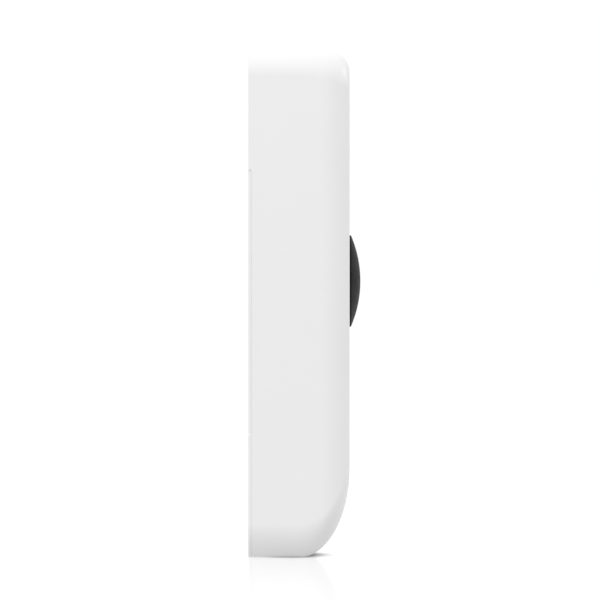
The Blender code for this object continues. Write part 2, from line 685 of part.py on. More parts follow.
def make_filter():
    """The infrared filter changer: a frame with two windows that a magnetic rotor's arm slides."""
    rest_x = FILTER_TRAVEL / 2
    outline = rounded_rectangle(5.8 * MM, 3.6 * MM, 0.5 * MM, 2)
    frame = slab("filter_frame", [outline], FILTER, rest_x, DOME_Z)
    ear = box(
        "filter_ear",
        (rest_x - 1.6 * MM, FILTER[0], DOME_Z + 3.0 * MM),
        (rest_x + 1.6 * MM, FILTER[1], DOME_Z + 7.2 * MM),
        helper=True,
    )
    join(frame, ear)
    pin_slot = rounded_rectangle(0.75 * MM, 1.15 * MM, 0.74 * MM, 4)
    through = (FILTER[0] - 1.0 * MM, FILTER[1] + 1.0 * MM)
    holes = [slab("pin_slot", [pin_slot], through, rest_x, DOME_Z + 5.5 * MM, helper=True)]
    glasses = []
    windows = (("ir_cut_glass", 0.0, FILTER_GLASS), ("clear_glass", FILTER_TRAVEL, GLASS))
    for name, x, material in windows:
        opening = rounded_rectangle(2.3 * MM, 2.6 * MM, 0.3 * MM, 2)
        holes.append(slab(name + "_opening", [opening], through, x, DOME_Z, helper=True))
        pane = rounded_rectangle(2.0 * MM, 2.3 * MM, 0.2 * MM, 2)
        glasses.append((slab(name, [pane], (16.7 * MM, 17.3 * MM), x, DOME_Z), material))
    cut(frame, *holes)
    return [(frame, BLACK), *glasses]


def make_filter_drive():
    rotor_z = DOME_Z + ROTOR_RISE
    rest = math.asin(FILTER_TRAVEL / 2 / ROTOR_ARM)
    pin_x = ROTOR_ARM * math.sin(rest)
    pin_z = rotor_z - ROTOR_ARM * math.cos(rest)
    rotor = disc("filter_rotor", 1.8 * MM, (15.6 * MM, 19.4 * MM), 0, rotor_z, 20)
    arm_outline = rounded_rectangle(0.8 * MM, ROTOR_ARM / 2 + 0.6 * MM, 0.79 * MM, 4)
    middle = (pin_x / 2, -(ARM[0] + ARM[1]) / 2, (rotor_z + pin_z) / 2)
    arm = plate("rotor_arm", [arm_outline], ARM[1] - ARM[0], middle, (math.pi / 2, -rest, 0), helper=True)
    pin = disc("rotor_pin", 0.4 * MM, (16.3 * MM, 18.1 * MM), pin_x, pin_z, 12, helper=True)
    join(rotor, arm, pin)
    coil_outline = rounded_rectangle(4.6 * MM, 3.4 * MM, 1.0 * MM, 3)
    coil = slab("filter_coil", [coil_outline], (15.1 * MM, 17.4 * MM), 0, rotor_z + 1.0 * MM)
    cut(coil, disc("rotor_room", 2.2 * MM, (14.0 * MM, 20.0 * MM), 0, rotor_z, 20, helper=True))
    return [(rotor, STEEL), (coil, COPPER)]


def make_camera_electronics():
    made = []
    outline = rounded_rectangle(16.0 * MM, 18.0 * MM, 1.5 * MM, 3)
    board = slab("camera_board", [outline], CAMERA_BOARD, 0, DOME_Z)
    chip = (-13.0 * MM, 14.5 * MM, -8.0 * MM), (-11.0 * MM, 15.6 * MM, 2.0 * MM)
    plug = (-5.0 * MM, 12.0 * MM, 6.0 * MM), (5.0 * MM, 13.8 * MM, 9.5 * MM)
    join(board, box("camera_chip", *chip, helper=True), box("camera_plug", *plug, helper=True))
    bore = (12.0 * MM, 16.0 * MM)
    holes = [disc("camera_hole", 1.2 * MM, bore, x, z, 12, helper=True) for x, z in CAMERA_POSTS]
    cut(board, *holes)
    made.append((board, BOARD))
    sensor = [rounded_rectangle(4.2 * MM, 3.6 * MM, 0.3 * MM, 2)]
    made.append((slab("image_sensor", sensor, (15.1 * MM, 16.0 * MM), 0, DOME_Z), BLACK))
    for i, (x, z) in enumerate(CAMERA_POSTS):
        name = f"camera_screw_{i + 1}"
        screw = screw_piece(name, x, z, 12.5 * MM, 19.5 * MM, 1.8 * MM, 0.9 * MM, 0.8 * MM)
        made.append((screw, STEEL))
    led_board = tube("ir_led_board", *LED_BOARD_RADII, LED_BOARD, 0, DOME_Z, 28)
    leds = []
    for i in range(4):
        angle = math.radians(45 + 90 * i)
        x = LED_CIRCLE * math.cos(angle)
        z = DOME_Z + LED_CIRCLE * math.sin(angle)
        leds.append(disc("ir_led", 1.0 * MM, (20.9 * MM, 22.2 * MM), x, z, 10, helper=True))
    join(led_board, *leds)
    made.append((led_board, BOARD))
    return made


# ---------------------------------------------------------------- button, sensors and speaker


def make_button():
    cap_profile = [
        (0, 26.5 * MM),
        (5.0 * MM, 26.6 * MM),
        (9.3 * MM, 26.95 * MM),
        (BUTTON_RADIUS, 26.7 * MM),
        (BUTTON_RADIUS, 23.5 * MM),
        (11.2 * MM, 23.5 * MM),
        (11.2 * MM, 22.6 * MM),
        (8.6 * MM, 22.6 * MM),
        (8.6 * MM, 25.0 * MM),
        (2.2 * MM, 25.0 * MM),
        (2.2 * MM, 22.1 * MM),
        (0, 22.1 * MM),
    ]
    ring_profile = [
        (BUTTON_RADIUS + GAP, 27.1 * MM),
        (RING_RADIUS, 27.1 * MM),
        (RING_RADIUS, 25.1 * MM),
        (13.4 * MM, 25.1 * MM),
        (13.4 * MM, 23.8 * MM),
        (BUTTON_RADIUS + GAP, 23.8 * MM),
    ]
    cap = turned("button_cap", cap_profile, 0, BUTTON_Z, 32)
    ring = turned("light_ring", ring_profile, 0, BUTTON_Z, 32, closed=True)
    plunger = disc("switch_plunger", 1.3 * MM, (20.2 * MM, 21.8 * MM), 0, BUTTON_Z, 16)
    switch_outline = rounded_rectangle(2.6 * MM, 2.6 * MM, 0.3 * MM, 2)
    switch = slab("button_switch", [switch_outline], (18.7 * MM, 20.9 * MM), 0, BUTTON_Z)
    cut(switch, disc("plunger_bore", 1.6 * MM, (19.4 * MM, 22.0 * MM), 0, BUTTON_Z, 16, helper=True))
    board_outline = rounded_rectangle(18.8 * MM, 12.5 * MM, 3.0 * MM, 3)
    board = slab("button_board", [board_outline], BUTTON_BOARD, 0, BUTTON_Z)
    leds = []
    corner = 0.7 * MM
    for i in range(4):
        angle = math.radians(45 + 90 * i)
        x = 11.6 * MM * math.cos(angle)
        z = BUTTON_Z + 11.6 * MM * math.sin(angle)
        low = (x - corner, 18.2 * MM, z - corner)
        high = (x + corner, 19.3 * MM, z + corner)
        leds.append(box("ring_led", low, high, helper=True))
    join(board, *leds)
    bore = (16.5 * MM, 19.0 * MM)
    cut(board, *[disc("stake_hole", 1.1 * MM, bore, x, z, 12, helper=True) for x, z in BUTTON_STAKES])
    return [(cap, WHITE), (ring, DIFFUSER), (plunger, BLACK), (switch, BLACK), (board, BOARD)]


def make_sensors():
    half = (PIR_HALF[0] - GAP, PIR_HALF[1] - GAP)
    pane = rounded_rectangle(*half, half[1] - 1e-6, 6)
    window = slab("pir_window", [pane], (24.4 * MM, 27.0 * MM), 0, PIR_Z)
    rim = rounded_rectangle(10.4 * MM, 5.6 * MM, 5.59 * MM, 6)
    join(window, slab("pir_flange", [rim], (23.9 * MM, 25.1 * MM), 0, PIR_Z, helper=True))
    can_profile = [(0, 22.5 * MM), (3.9 * MM, 22.5 * MM), (4.1 * MM, 22.3 * MM), (4.1 * MM, 18.8 * MM)]
    can_profile += [(4.6 * MM, 18.8 * MM), (4.6 * MM, 18.3 * MM), (0, 18.3 * MM)]
    can = turned("pir_sensor", can_profile, 0, PIR_Z, 24)
    outline = rounded_rectangle(16.5 * MM, 11.5 * MM, 2.0 * MM, 3)
    board = slab("sensor_board", [outline], SENSOR_BOARD, 0, SENSOR_BOARD_Z)
    microphone = box(
        "microphone",
        (-1.9 * MM, SENSOR_BOARD[1] - 0.2 * MM, MIC_Z - 1.4 * MM),
        (1.9 * MM, 19.2 * MM, MIC_Z + 1.4 * MM),
        helper=True,
    )
    join(board, microphone)
    bore = (16.0 * MM, 19.0 * MM)
    cut(board, *[disc("stake_hole", 1.1 * MM, bore, x, z, 12, helper=True) for x, z in SENSOR_STAKES])
    boot = tube("microphone_boot", 0.9 * MM, 2.4 * MM, (19.5 * MM, 25.1 * MM), 0, MIC_Z, 16)
    return [(window, DIFFUSER), (can, STEEL), (board, BOARD), (boot, RUBBER)]


def speaker_plate(name, outlines, low, high, helper=False):
    """A piece of the speaker, flat from above, between two heights."""
    location = (0.0, -SPEAKER_DEPTH, (low + high) / 2)
    return plate(name, outlines, high - low, location, (0, 0, 0), helper=helper)


def make_speaker():
    face = SPEAKER_FACE_Z
    case = [rounded_rectangle(13.0 * MM, 4.7 * MM, 2.5 * MM, 3)]
    frame = speaker_plate("speaker_frame", case, face, face + 4.7 * MM)
    hollow = [rounded_rectangle(11.6 * MM, 3.6 * MM, 1.6 * MM, 3)]
    cut(frame, speaker_plate("speaker_hollow", hollow, face - 1.0 * MM, face + 3.5 * MM, helper=True))
    cone_outline = [rounded_rectangle(11.2 * MM, 3.2 * MM, 1.4 * MM, 3)]
    cone = speaker_plate("speaker_cone", cone_outline, face + 0.4 * MM, face + 1.1 * MM)
    coil_loop = [(2.2 * MM, 0.7 * MM), (2.8 * MM, 0.7 * MM), (2.8 * MM, -0.7 * MM), (2.2 * MM, -0.7 * MM)]
    coil = turned("speaker_coil", coil_loop, 0, 0, 20, closed=True, turn=(0, 0, 0))
    coil.location = (0.0, -SPEAKER_DEPTH, face + 2.1 * MM)
    magnet_outline = [rounded_rectangle(6.5 * MM, 4.0 * MM, 1.0 * MM, 3)]
    magnet = speaker_plate("speaker_magnet", magnet_outline, face + 5.0 * MM, face + 7.9 * MM)
    seal_outer = rounded_rectangle(12.3 * MM, 2.2 * MM, 1.2 * MM, 3)
    seal_inner = rounded_rectangle(11.4 * MM, 1.4 * MM, 0.6 * MM, 3)
    gasket = speaker_plate("speaker_gasket", [seal_outer, seal_inner], GAP - INNER_HALF_HEIGHT, face - GAP)
    return [(frame, BLACK), (cone, GREY), (coil, COPPER), (magnet, STEEL), (gasket, RUBBER)]


# ---------------------------------------------------------------- main board


def make_main_board():
    """The main board, with the chips that are soldered to its front and back."""
    board = slab("main_board", [rounded_rectangle(19.3 * MM, 50.0 * MM, 2.0 * MM, 3)], MAIN_BOARD)
    front = MAIN_BOARD[1] - 0.2 * MM
    back = MAIN_BOARD[0] + 0.2 * MM
    key = 2.2 * MM
    chips = (
        ("radio_module", (-17.0 * MM, front, 24.0 * MM), (-7.0 * MM, 13.3 * MM, 33.0 * MM)),
        ("memory", (3.0 * MM, front, 24.5 * MM), (13.0 * MM, 12.6 * MM, 32.0 * MM)),
        ("power_controller", (4.0 * MM, front, -32.0 * MM), (10.0 * MM, 12.6 * MM, -26.0 * MM)),
        ("rectifier", (5.0 * MM, front, -22.0 * MM), (12.0 * MM, 13.4 * MM, -16.0 * MM)),
        ("board_plug", (-6.0 * MM, front, 26.0 * MM), (2.0 * MM, 13.0 * MM, 30.0 * MM)),
        ("reset_switch", (RESET_X - key, 8.9 * MM, RESET_Z - key), (RESET_X + key, back, RESET_Z + key)),
        ("terminal_socket", (-12.0 * MM, 9.7 * MM, -17.0 * MM), (12.0 * MM, back, -7.0 * MM)),
    )
    join(board, *[box(name, low, high, helper=True) for name, low, high in chips])
    bore = (9.0 * MM, 13.0 * MM)
    cut(board, *[disc("board_hole", 1.1 * MM, bore, x, z, 12, helper=True) for x, z in BOARD_SCREWS])
    return [(board, BOARD)]


def make_board_pieces():
    """The larger pieces that stand on the main board, the antenna and the button's cable."""
    foot = MAIN_BOARD[1] + GAP
    shield_outline = rounded_rectangle(11.0 * MM, 6.5 * MM, 0.6 * MM, 2)
    shield = slab("processor_shield", [shield_outline], (foot, 13.8 * MM), 0, 42.0 * MM)
    inductor_outline = rounded_rectangle(4.0 * MM, 4.0 * MM, 1.2 * MM, 3)
    inductor = slab("power_inductor", [inductor_outline], (foot, 15.2 * MM), -9.0 * MM, -30.0 * MM)
    antenna = box("radio_antenna", (-12.0 * MM, 11.5 * MM, 65.0 * MM), (12.0 * MM, 18.5 * MM, 65.5 * MM))
    made = [(shield, STEEL), (inductor, BLACK), (antenna, COPPER)]
    length = 6.2 * MM
    radius = 2.6 * MM
    for i, x in enumerate((-7.0 * MM, 7.0 * MM)):
        profile = [(0, length), (radius, length), (radius, -length), (0, -length)]
        name = f"hold_up_capacitor_{i + 1}"
        capacitor = turned(name, profile, 0, 0, 20, turn=(0, math.pi / 2, 0))
        capacitor.location = (x, -(foot + radius), -44.5 * MM)
        made.append((capacitor, CAPACITOR))
    route = [(11.7, -37.0), (12.6, -37.6), (13.6, -38.6), (14.6, -39.3)]
    route += [(15.6, -39.2), (16.4, -38.4), (16.9, -37.4), (17.1, -36.0)]
    path = [(depth * MM, z * MM) for depth, z in route]
    made.append((ribbon("button_cable", path, 11.0 * MM, 5.0 * MM, 0.2 * MM), BLACK))
    return made


# ---------------------------------------------------------------- assembly


def empty(name, location):
    obj = bpy.data.objects.new(name, None)
    PARTS.objects.link(obj)
    obj.location = location
    obj.empty_display_size = 5.0 * MM
    return obj


def hang(obj, parent):
    """Parents an object to an unturned empty without moving it."""
    obj.parent = parent
    obj.matrix_parent_inverse = Matrix.Translation(-parent.location)


def main():
    bracket = make_bracket()
    unit = make_shell() + make_cover() + make_seals_and_screws() + make_terminals()
    unit += make_reset_button() + make_dome() + make_lens() + make_lens_holder() + make_filter()
    unit += make_filter_drive() + make_camera_electronics() + make_button() + make_sensors()
    unit += make_speaker() + make_main_board() + make_board_pieces()
    wall_frame = empty("wall_frame", (0, 0, 0))
    swing = empty("unit_swing", (0, -SWING_DEPTH, SWING_Z))
    for pieces, parent in ((bracket, wall_frame), (unit, swing)):
        for obj, material in pieces:
            obj.data.materials.append(material)
            if len(obj.data.polygons):
                shade(obj.data)
            hang(obj, parent)


main()
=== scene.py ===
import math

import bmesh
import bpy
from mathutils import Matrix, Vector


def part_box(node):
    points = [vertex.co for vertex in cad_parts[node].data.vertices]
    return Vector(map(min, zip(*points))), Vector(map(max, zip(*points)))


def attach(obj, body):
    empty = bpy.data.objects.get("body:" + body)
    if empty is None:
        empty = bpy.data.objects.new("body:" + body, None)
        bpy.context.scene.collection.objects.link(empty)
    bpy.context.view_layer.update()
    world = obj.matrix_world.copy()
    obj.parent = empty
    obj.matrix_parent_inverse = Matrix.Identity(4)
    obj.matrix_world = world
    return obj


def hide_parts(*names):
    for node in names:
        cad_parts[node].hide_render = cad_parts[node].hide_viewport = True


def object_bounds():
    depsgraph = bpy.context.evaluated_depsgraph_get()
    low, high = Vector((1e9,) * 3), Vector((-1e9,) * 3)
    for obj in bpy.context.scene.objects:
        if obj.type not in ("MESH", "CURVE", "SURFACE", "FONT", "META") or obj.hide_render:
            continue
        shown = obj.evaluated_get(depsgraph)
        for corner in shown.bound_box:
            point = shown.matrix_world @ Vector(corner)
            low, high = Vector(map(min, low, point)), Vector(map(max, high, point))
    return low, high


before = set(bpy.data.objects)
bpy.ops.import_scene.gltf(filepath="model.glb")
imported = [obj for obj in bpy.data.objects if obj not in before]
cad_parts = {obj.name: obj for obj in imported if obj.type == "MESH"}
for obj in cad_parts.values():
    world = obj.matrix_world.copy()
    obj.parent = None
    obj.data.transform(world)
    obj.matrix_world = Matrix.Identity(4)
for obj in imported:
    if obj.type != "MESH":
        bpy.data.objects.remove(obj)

# The looks of the video doorbell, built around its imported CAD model.
#
# Metres, +Z up, the visitor at -Y and the wall at y = 0. A depth is measured from the wall
# towards the visitor, so a depth d lies at y = -d. Pieces that show are rebuilt here with finer
# meshes, and every CAD node that stays gets a material of its own.

CAD_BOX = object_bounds()
MM = 0.001


def middle(node):
    low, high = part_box(node)
    return (low + high) / 2


# Sizes that come from the frame
SHELL_LOW, SHELL_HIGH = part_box("front_shell")
HALF_WIDTH = SHELL_HIGH.x
HALF_HEIGHT = SHELL_HIGH.z
FRONT = -SHELL_LOW.y
FLOOR_Z = CAD_BOX[0].z
DOME_LOW, DOME_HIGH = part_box("camera_dome")
DOME_Z = middle("camera_dome").z
DOME_APEX = -DOME_LOW.y
BUTTON_Z = middle("button_cap").z
WINDOW_Z = middle("pir_window").z
MICROPHONE_Z = middle("microphone_boot").z
SPEAKER_DEPTH = -middle("speaker_frame").y
SCREW_DEPTH = -middle("security_screw").y

# The shell: its wall, and how its edges round off as (span in depth, fall, power)
WALL = 1.8 * MM
CORNER_RADIUS = 9.0 * MM
FRONT_CORNER_RADIUS = 6.8 * MM
TOP_EDGE = (17.5 * MM, 8.25 * MM, 2.6)
SIDE_EDGE = (7.5 * MM, 4.5 * MM, 2.0)
CHIN_EDGE = (12.8 * MM, 22.6 * MM, 1.9)
RIM_DEPTH = 0.05 * MM
RIM_EASE = 0.25 * MM
RIM_EASE_START = 5.0 * MM
RIM_EASE_SPAN = 2.5 * MM
SEAM_DEPTH = 0.86 * MM
SEAM_GAP = 0.02 * MM
LIP = 0.2 * MM

# Openings in the shell
DOME_RADIUS = 12.4 * MM
DOME_RIM = 0.5 * MM
RING_RADIUS = 12.0 * MM
WINDOW_HALF = (9.0 * MM, 4.2 * MM)
FIT = 0.15 * MM
SLOT_COUNT = 5
SLOT_PITCH = 3.6 * MM
CAP_RADIUS = 10.0 * MM
CAP_DISH = 0.45 * MM
DOME_WALL = 1.2 * MM

SLOT_HALF = (0.8 * MM, 1.9 * MM)
MICROPHONE_RADIUS = 0.6 * MM
HEAD_HOLE = (2.3 * MM, 1.4 * MM)
SHANK_HOLE_RADIUS = 1.3 * MM
SHANK_HOLE_TOP = 65.1 * MM

# What is moulded inside the shell; profiles are (radius, depth) points, in mm
INTO_WALL = 0.4 * MM
LEDGE_DEPTHS = (8.6 * MM, 9.8 * MM)
LEDGE_HOLLOW = (20.0 * MM, 65.0 * MM, 5.2 * MM)
LEDGE_HOLLOW_DEPTHS = (8.0 * MM, 10.4 * MM)
BOSS = ((0, 18.5), (2.3, 18.5), (2.6, 18.2), (2.6, 7.5), (1.4, 7.5), (1.4, 15.5), (0, 15.5))
BOSS_RIB_START = 1.8 * MM
BOSS_RIB_HALF = 0.6 * MM
BOSS_RIB_DEPTHS = (9.0 * MM, 17.8 * MM)
CAMERA_POST_BACK = ((1.9, 15.1), (1.2, 15.1), (1.2, 21.0), (0, 21.0))
STAKES = (("button_board", 16.6 * MM, BUTTON_Z), ("sensor_board", 14.5 * MM, 38.0 * MM))
HOOK_RIB_HALF = 3.0 * MM
HOOK_RIB_DEPTHS = (2.2 * MM, 3.6 * MM)
SECURITY_BOSS_HALF = 3.2 * MM
SECURITY_BOSS_DEPTHS = (1.7 * MM, 5.2 * MM)
SECURITY_BOSS_TOP = -65.8 * MM

# The bracket
FLANGE_TOP = 34.7 * MM
RELIEF_LOW = -35.9 * MM
RELIEF_INSET = 0.3 * MM
PLATE_HALF = (21.8 * MM, 65.8 * MM)
PLATE_DEPTH = 1.4 * MM
PLATE_CORNER = 6.5 * MM
PLATE_EASE = 0.15 * MM
FLANGE_EASE = 0.04 * MM
INTO_PLATE = 1.0 * MM
WALL_SLOTS_Z = (-48.0 * MM, 48.0 * MM)
CABLE_Z = 16.0 * MM
CABLE_HALF = (9.0 * MM, 10.0 * MM)
CABLE_CORNER = 2.5 * MM
WALL_SLOT_HALF = (2.1 * MM, 4.2 * MM)
HEAD_RECESS_HALF = (4.0 * MM, 6.1 * MM)
HEAD_RECESS_START = 0.8 * MM
HOOKS_X = (-9.0 * MM, 9.0 * MM)
SWING_Z = 65.8 * MM
HOOK_HALF = 2.6 * MM
HOOK_FRONT = 5.2 * MM
HOOK_ARM_Z = (SWING_Z - 1.7 * MM, SWING_Z - 0.3 * MM)
HOOK_LIP_Z = (SWING_Z - 0.8 * MM, SWING_Z + 0.8 * MM)
HOOK_LIP_BACK = 4.1 * MM
TAB_HALF = 4.0 * MM
TAB_FRONT = 5.0 * MM
TAB_Z = (-65.1 * MM, -63.7 * MM)
RIB_X = 16.5 * MM
RIB_HALF = 0.6 * MM
RIB_FRONT = 2.6 * MM
RIB_REACH = 58.0 * MM

# Shallow pockets in the bracket's wall face, as (x, z, half size), in mm, mirrored
BRACKET_POCKETS = (
    (15.4, 16.0, (4.0, 16.0)),
    (14.0, 46.5, (5.4, 12.0)),
    (12.6, -16.0, (8.4, 13.5)),
    (13.4, -49.5, (6.6, 10.5)),
)
POCKET_DEPTH = 0.45 * MM
POCKET_CORNER = 1.6 * MM

# The floor: its size, the share and level of its own light, and its polish
FLOOR_HALF = 30.0
FLOOR_COLOUR = (0.9, 0.9, 0.9, 1.0)
FLOOR_LIT = 0.5
FLOOR_GLOW = 1.05
FLOOR_POLISH = 0.35
FLOOR_ROUGHNESS = 0.08

# The painted shade on the floor where the doorbell stands: where it lies, where it starts to fade,
# how deep and how dark
CONTACT_Y = -11.5 * MM
CONTACT_HALF = (31.0 * MM, 12.5 * MM)
CONTACT_CORE = 0.35
CONTACT_SHADE = 0.93
CONTACT_GLOW = 0.12

# Light: its level, how it grows along a direction, and a small brighter card towards +X
LIGHT_LEVEL = 0.96
LIGHT_SLOPE = (0.0, 0.21, 0.31)
CARD_DIRECTION = (1.0, 0.0, 0.0)
CARD_EDGE_DEGREES = (12, 7)
CARD_LEVEL = 0.3
BACKDROP_LEVEL = 1.02

# Softboxes, as (place, size, power)
KEY_SOFTBOX = ((-0.3, 0.1, 0.42), (0.35, 0.35), 0.36)
FRONT_SOFTBOX = ((0.2, -0.6, 0.3), (0.22, 0.12), 0.5)

# The camera, level with the middle of the left side, and the width that fills its view
CAMERA_DISTANCE = 2.0
CAMERA_PLACE = (-CAMERA_DISTANCE, -13.88 * MM, 0.05 * MM)
NEAREST_EDGE = 17.0 * MM
SEEN_WIDTH = 161.24 * MM
SENSOR_WIDTH = 36.0

WHITE = (1.0, 1.0, 1.0, 1.0)
TINY = 1e-9


# ---------------------------------------------------------------- materials


class Look:
    """A material in the making: one Principled shader and the textures that drive it."""

    def __init__(self, name, colour, roughness, metallic=0.0):
        self.material = bpy.data.materials.new(name + "_look")
        self.material.use_nodes = True
        self.tree = self.material.node_tree
        self.shader = self.tree.nodes["Principled BSDF"]
        self.set("Base Color", (*colour, 1.0))
        self.set("Roughness", roughness)
        self.set("Metallic", metallic)
        self.place = self.tree.nodes.new("ShaderNodeTexCoord").outputs["Object"]

    def set(self, socket, value):
        self.shader.inputs[socket].default_value = value
        return self

    def stretched(self, scales):
        mapping = self.tree.nodes.new("ShaderNodeMapping")
        mapping.inputs["Scale"].default_value = scales
        self.tree.links.new(self.place, mapping.inputs["Vector"])
        return mapping.outputs["Vector"]

    def noise(self, size, detail=3.0, stretch=(1.0, 1.0, 1.0)):
        """Noise whose blobs are about this size, in metres."""
        node = self.tree.nodes.new("ShaderNodeTexNoise")
        node.inputs["Scale"].default_value = 1.0 / size
        node.inputs["Detail"].default_value = detail
        self.tree.links.new(self.stretched(stretch), node.inputs["Vector"])
        return node.outputs["Fac"]

    def cells(self, size, feature="F1"):
        node = self.tree.nodes.new("ShaderNodeTexVoronoi")
        node.feature = feature
        node.inputs["Scale"].default_value = 1.0 / size
        self.tree.links.new(self.place, node.inputs["Vector"])
        return node.outputs["Distance"]

    def ranged(self, source, low, high, start=0.3, end=0.7):
        node = self.tree.nodes.new("ShaderNodeMapRange")
        node.inputs["From Min"].default_value = start
        node.inputs["From Max"].default_value = end
        node.inputs["To Min"].default_value = low
        node.inputs["To Max"].default_value = high
        self.tree.links.new(source, node.inputs["Value"])
        return node.outputs["Result"]

    def colours(self, source, stops):
        """Colours along a source, as (place, (r, g, b)) stops."""
        ramp = self.tree.nodes.new("ShaderNodeValToRGB")
        elements = ramp.color_ramp.elements
        while len(elements) < len(stops):
            elements.new(0.5)
        for element, (place, colour) in zip(elements, stops):
            element.position = place
            element.color = (*colour, 1.0)
        self.tree.links.new(source, ramp.inputs["Fac"])
        self.tree.links.new(ramp.outputs["Color"], self.shader.inputs["Base Color"])
        return self

    def rough(self, source, low, high):
        self.tree.links.new(self.ranged(source, low, high), self.shader.inputs["Roughness"])
        return self

    def bump(self, source, height, strength=1.0):
        """Relief whose full range is this height, in metres."""
        node = self.tree.nodes.new("ShaderNodeBump")
        node.inputs["Strength"].default_value = strength
        node.inputs["Distance"].default_value = height
        self.tree.links.new(source, node.inputs["Height"])
        self.tree.links.new(node.outputs["Normal"], self.shader.inputs["Normal"])
        return self


def shades(colour, spread):
    """Three stops of a colour, a little darker to a little lighter."""
    dark = tuple(c * (1.0 - spread) for c in colour)
    light = tuple(min(1.0, c * (1.0 + spread)) for c in colour)
    return [(0.3, dark), (0.5, colour), (0.7, light)]


def moulded_plastic(name, colour, roughness, spread=0.01, grain=0.35 * MM, relief=0.004 * MM):
    look = Look(name, colour, roughness)
    look.colours(look.noise(14.0 * MM, 2.0), shades(colour, spread))
    look.rough(look.noise(1.6 * MM), roughness - 0.04, roughness + 0.05)
    look.bump(look.noise(grain, 4.0), relief)
    return look


def white_plastic():
    look = moulded_plastic("white_plastic", (0.8, 0.8, 0.8), 0.4, 0.004)
    return look.set("Specular IOR Level", 0.45)


def grey_plastic():
    return moulded_plastic("grey_plastic", (0.16, 0.162, 0.168), 0.5, 0.06, 0.3 * MM, 0.008 * MM)


def black_plastic():
    return moulded_plastic("black_plastic", (0.018, 0.018, 0.019), 0.42, 0.12, 0.25 * MM, 0.006 * MM)


def smoked_dome():
    """Dark tinted plastic with a satin face, a little of which is seen through."""
    colour = (0.01, 0.01, 0.0104)
    look = Look("smoked_dome", colour, 0.52)
    look.colours(look.noise(9.0 * MM, 2.0), shades(colour, 0.05))
    look.rough(look.noise(3.0 * MM), 0.48, 0.56)
    look.bump(look.noise(0.5 * MM, 3.0), 0.001 * MM, 0.4)
    look.set("Specular IOR Level", 0.03)
    look.set("Coat Weight", 0.04)
    look.set("Coat Roughness", 0.07)
    return look.set("Alpha", 0.97)


def brushed_metal(name, colour, roughness, along=(1.0, 1.0, 12.0)):
    look = Look(name, colour, roughness, metallic=1.0)
    look.colours(look.noise(2.5 * MM), shades(colour, 0.1))
    look.rough(look.noise(0.7 * MM, 4.0, along), roughness - 0.08, roughness + 0.1)
    look.bump(look.noise(0.3 * MM, 3.0, along), 0.006 * MM)
    return look


def rubber():
    colour = (0.025, 0.025, 0.026)
    look = Look("rubber", colour, 0.75)
    look.colours(look.noise(3.0 * MM), shades(colour, 0.25))
    look.rough(look.noise(0.9 * MM), 0.65, 0.85)
    look.bump(look.noise(0.2 * MM, 5.0), 0.02 * MM)
    return look


def circuit_board():
    """Green solder mask, with the paler lines of the tracks under it."""
    look = Look("circuit_board", (0.01, 0.06, 0.03), 0.35)
    tracks = look.cells(2.2 * MM, "DISTANCE_TO_EDGE")
    edge = look.ranged(tracks, 0.0, 1.0, 0.0, 0.12)
    line, slope, mask = (0.03, 0.16, 0.07), (0.012, 0.075, 0.035), (0.008, 0.05, 0.025)
    look.colours(edge, [(0.0, line), (0.5, slope), (1.0, mask)])
    look.rough(look.noise(1.2 * MM), 0.28, 0.42)
    look.bump(edge, 0.02 * MM, 0.6)
    return look


def coated_glass(name, colour, painted_reflection_tint):
    """Lens glass, with a real clear coat and the coloured reflection of its coating painted into its
    colour, which shifts with how squarely the glass faces the view.
    """
    look = Look(name, colour, 0.04)
    # Painted reflection: the colour runs from dark, through the coating's tint, to a green rim as
    # the glass turns away from the view.
    weight = look.tree.nodes.new("ShaderNodeLayerWeight")
    weight.inputs["Blend"].default_value = 0.35
    rim = (0.02, 0.05, 0.04)
    look.colours(weight.outputs["Facing"], [(0.0, colour), (0.55, painted_reflection_tint), (1.0, rim)])
    look.rough(look.noise(4.0 * MM, 2.0), 0.03, 0.06)
    look.set("Coat Weight", 0.6)
    look.set("Coat Roughness", 0.03)
    return look


def light_diffuser():
    """Milky translucent plastic, for the light ring and the sensor's window."""
    colour = (0.72, 0.735, 0.75)
    look = Look("light_diffuser", colour, 0.42)
    look.colours(look.noise(6.0 * MM, 2.0), shades(colour, 0.02))
    look.rough(look.noise(1.0 * MM), 0.36, 0.5)
    look.bump(look.noise(0.25 * MM, 4.0), 0.006 * MM)
    look.set("Subsurface Weight", 0.35)
    look.set("Subsurface Radius", (1.0, 1.0, 1.0))
    look.set("Subsurface Scale", 0.6 * MM)
    return look


def capacitor_sleeve():
    colour = (0.012, 0.02, 0.07)
    look = Look("capacitor_sleeve", colour, 0.35)
    look.colours(look.noise(2.0 * MM), shades(colour, 0.2))
    look.rough(look.noise(1.0 * MM), 0.28, 0.44)
    look.bump(look.noise(0.8 * MM, 2.0, (0.2, 1.0, 1.0)), 0.01 * MM)
    return look


LOOKS = {
    "white_plastic": white_plastic(),
    "grey_plastic": grey_plastic(),
    "black_plastic": black_plastic(),
    "smoked_dome": smoked_dome(),
    "steel": brushed_metal("steel", (0.56, 0.56, 0.57), 0.3),
    "brass": brushed_metal("brass", (0.72, 0.55, 0.27), 0.32),
    "rubber": rubber(),
    "circuit_board": circuit_board(),
    "lens_glass": coated_glass("lens_glass", (0.012, 0.01, 0.03), (0.06, 0.03, 0.14)),
    "filter_glass": coated_glass("filter_glass", (0.12, 0.02, 0.03), (0.2, 0.05, 0.1)),
    "light_diffuser": light_diffuser(),
    "copper": brushed_metal("copper", (0.7, 0.33, 0.18), 0.34),
    "capacitor_sleeve": capacitor_sleeve(),
}


def dress_frame():
    """Gives each CAD node that stays the look of its slot."""
    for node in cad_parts.values():
        for slot in node.material_slots:
            slot.material = LOOKS[slot.material.name.split(".")[0]].material


# ---------------------------------------------------------------- mesh tools


def from_shape(name, shape):
    bmesh.ops.recalc_face_normals(shape, faces=shape.faces)
    mesh = bpy.data.meshes.new(name)
    shape.to_mesh(mesh)
    shape.free()
    obj = bpy.data.objects.new(name, mesh)
    bpy.context.scene.collection.objects.link(obj)
    return obj


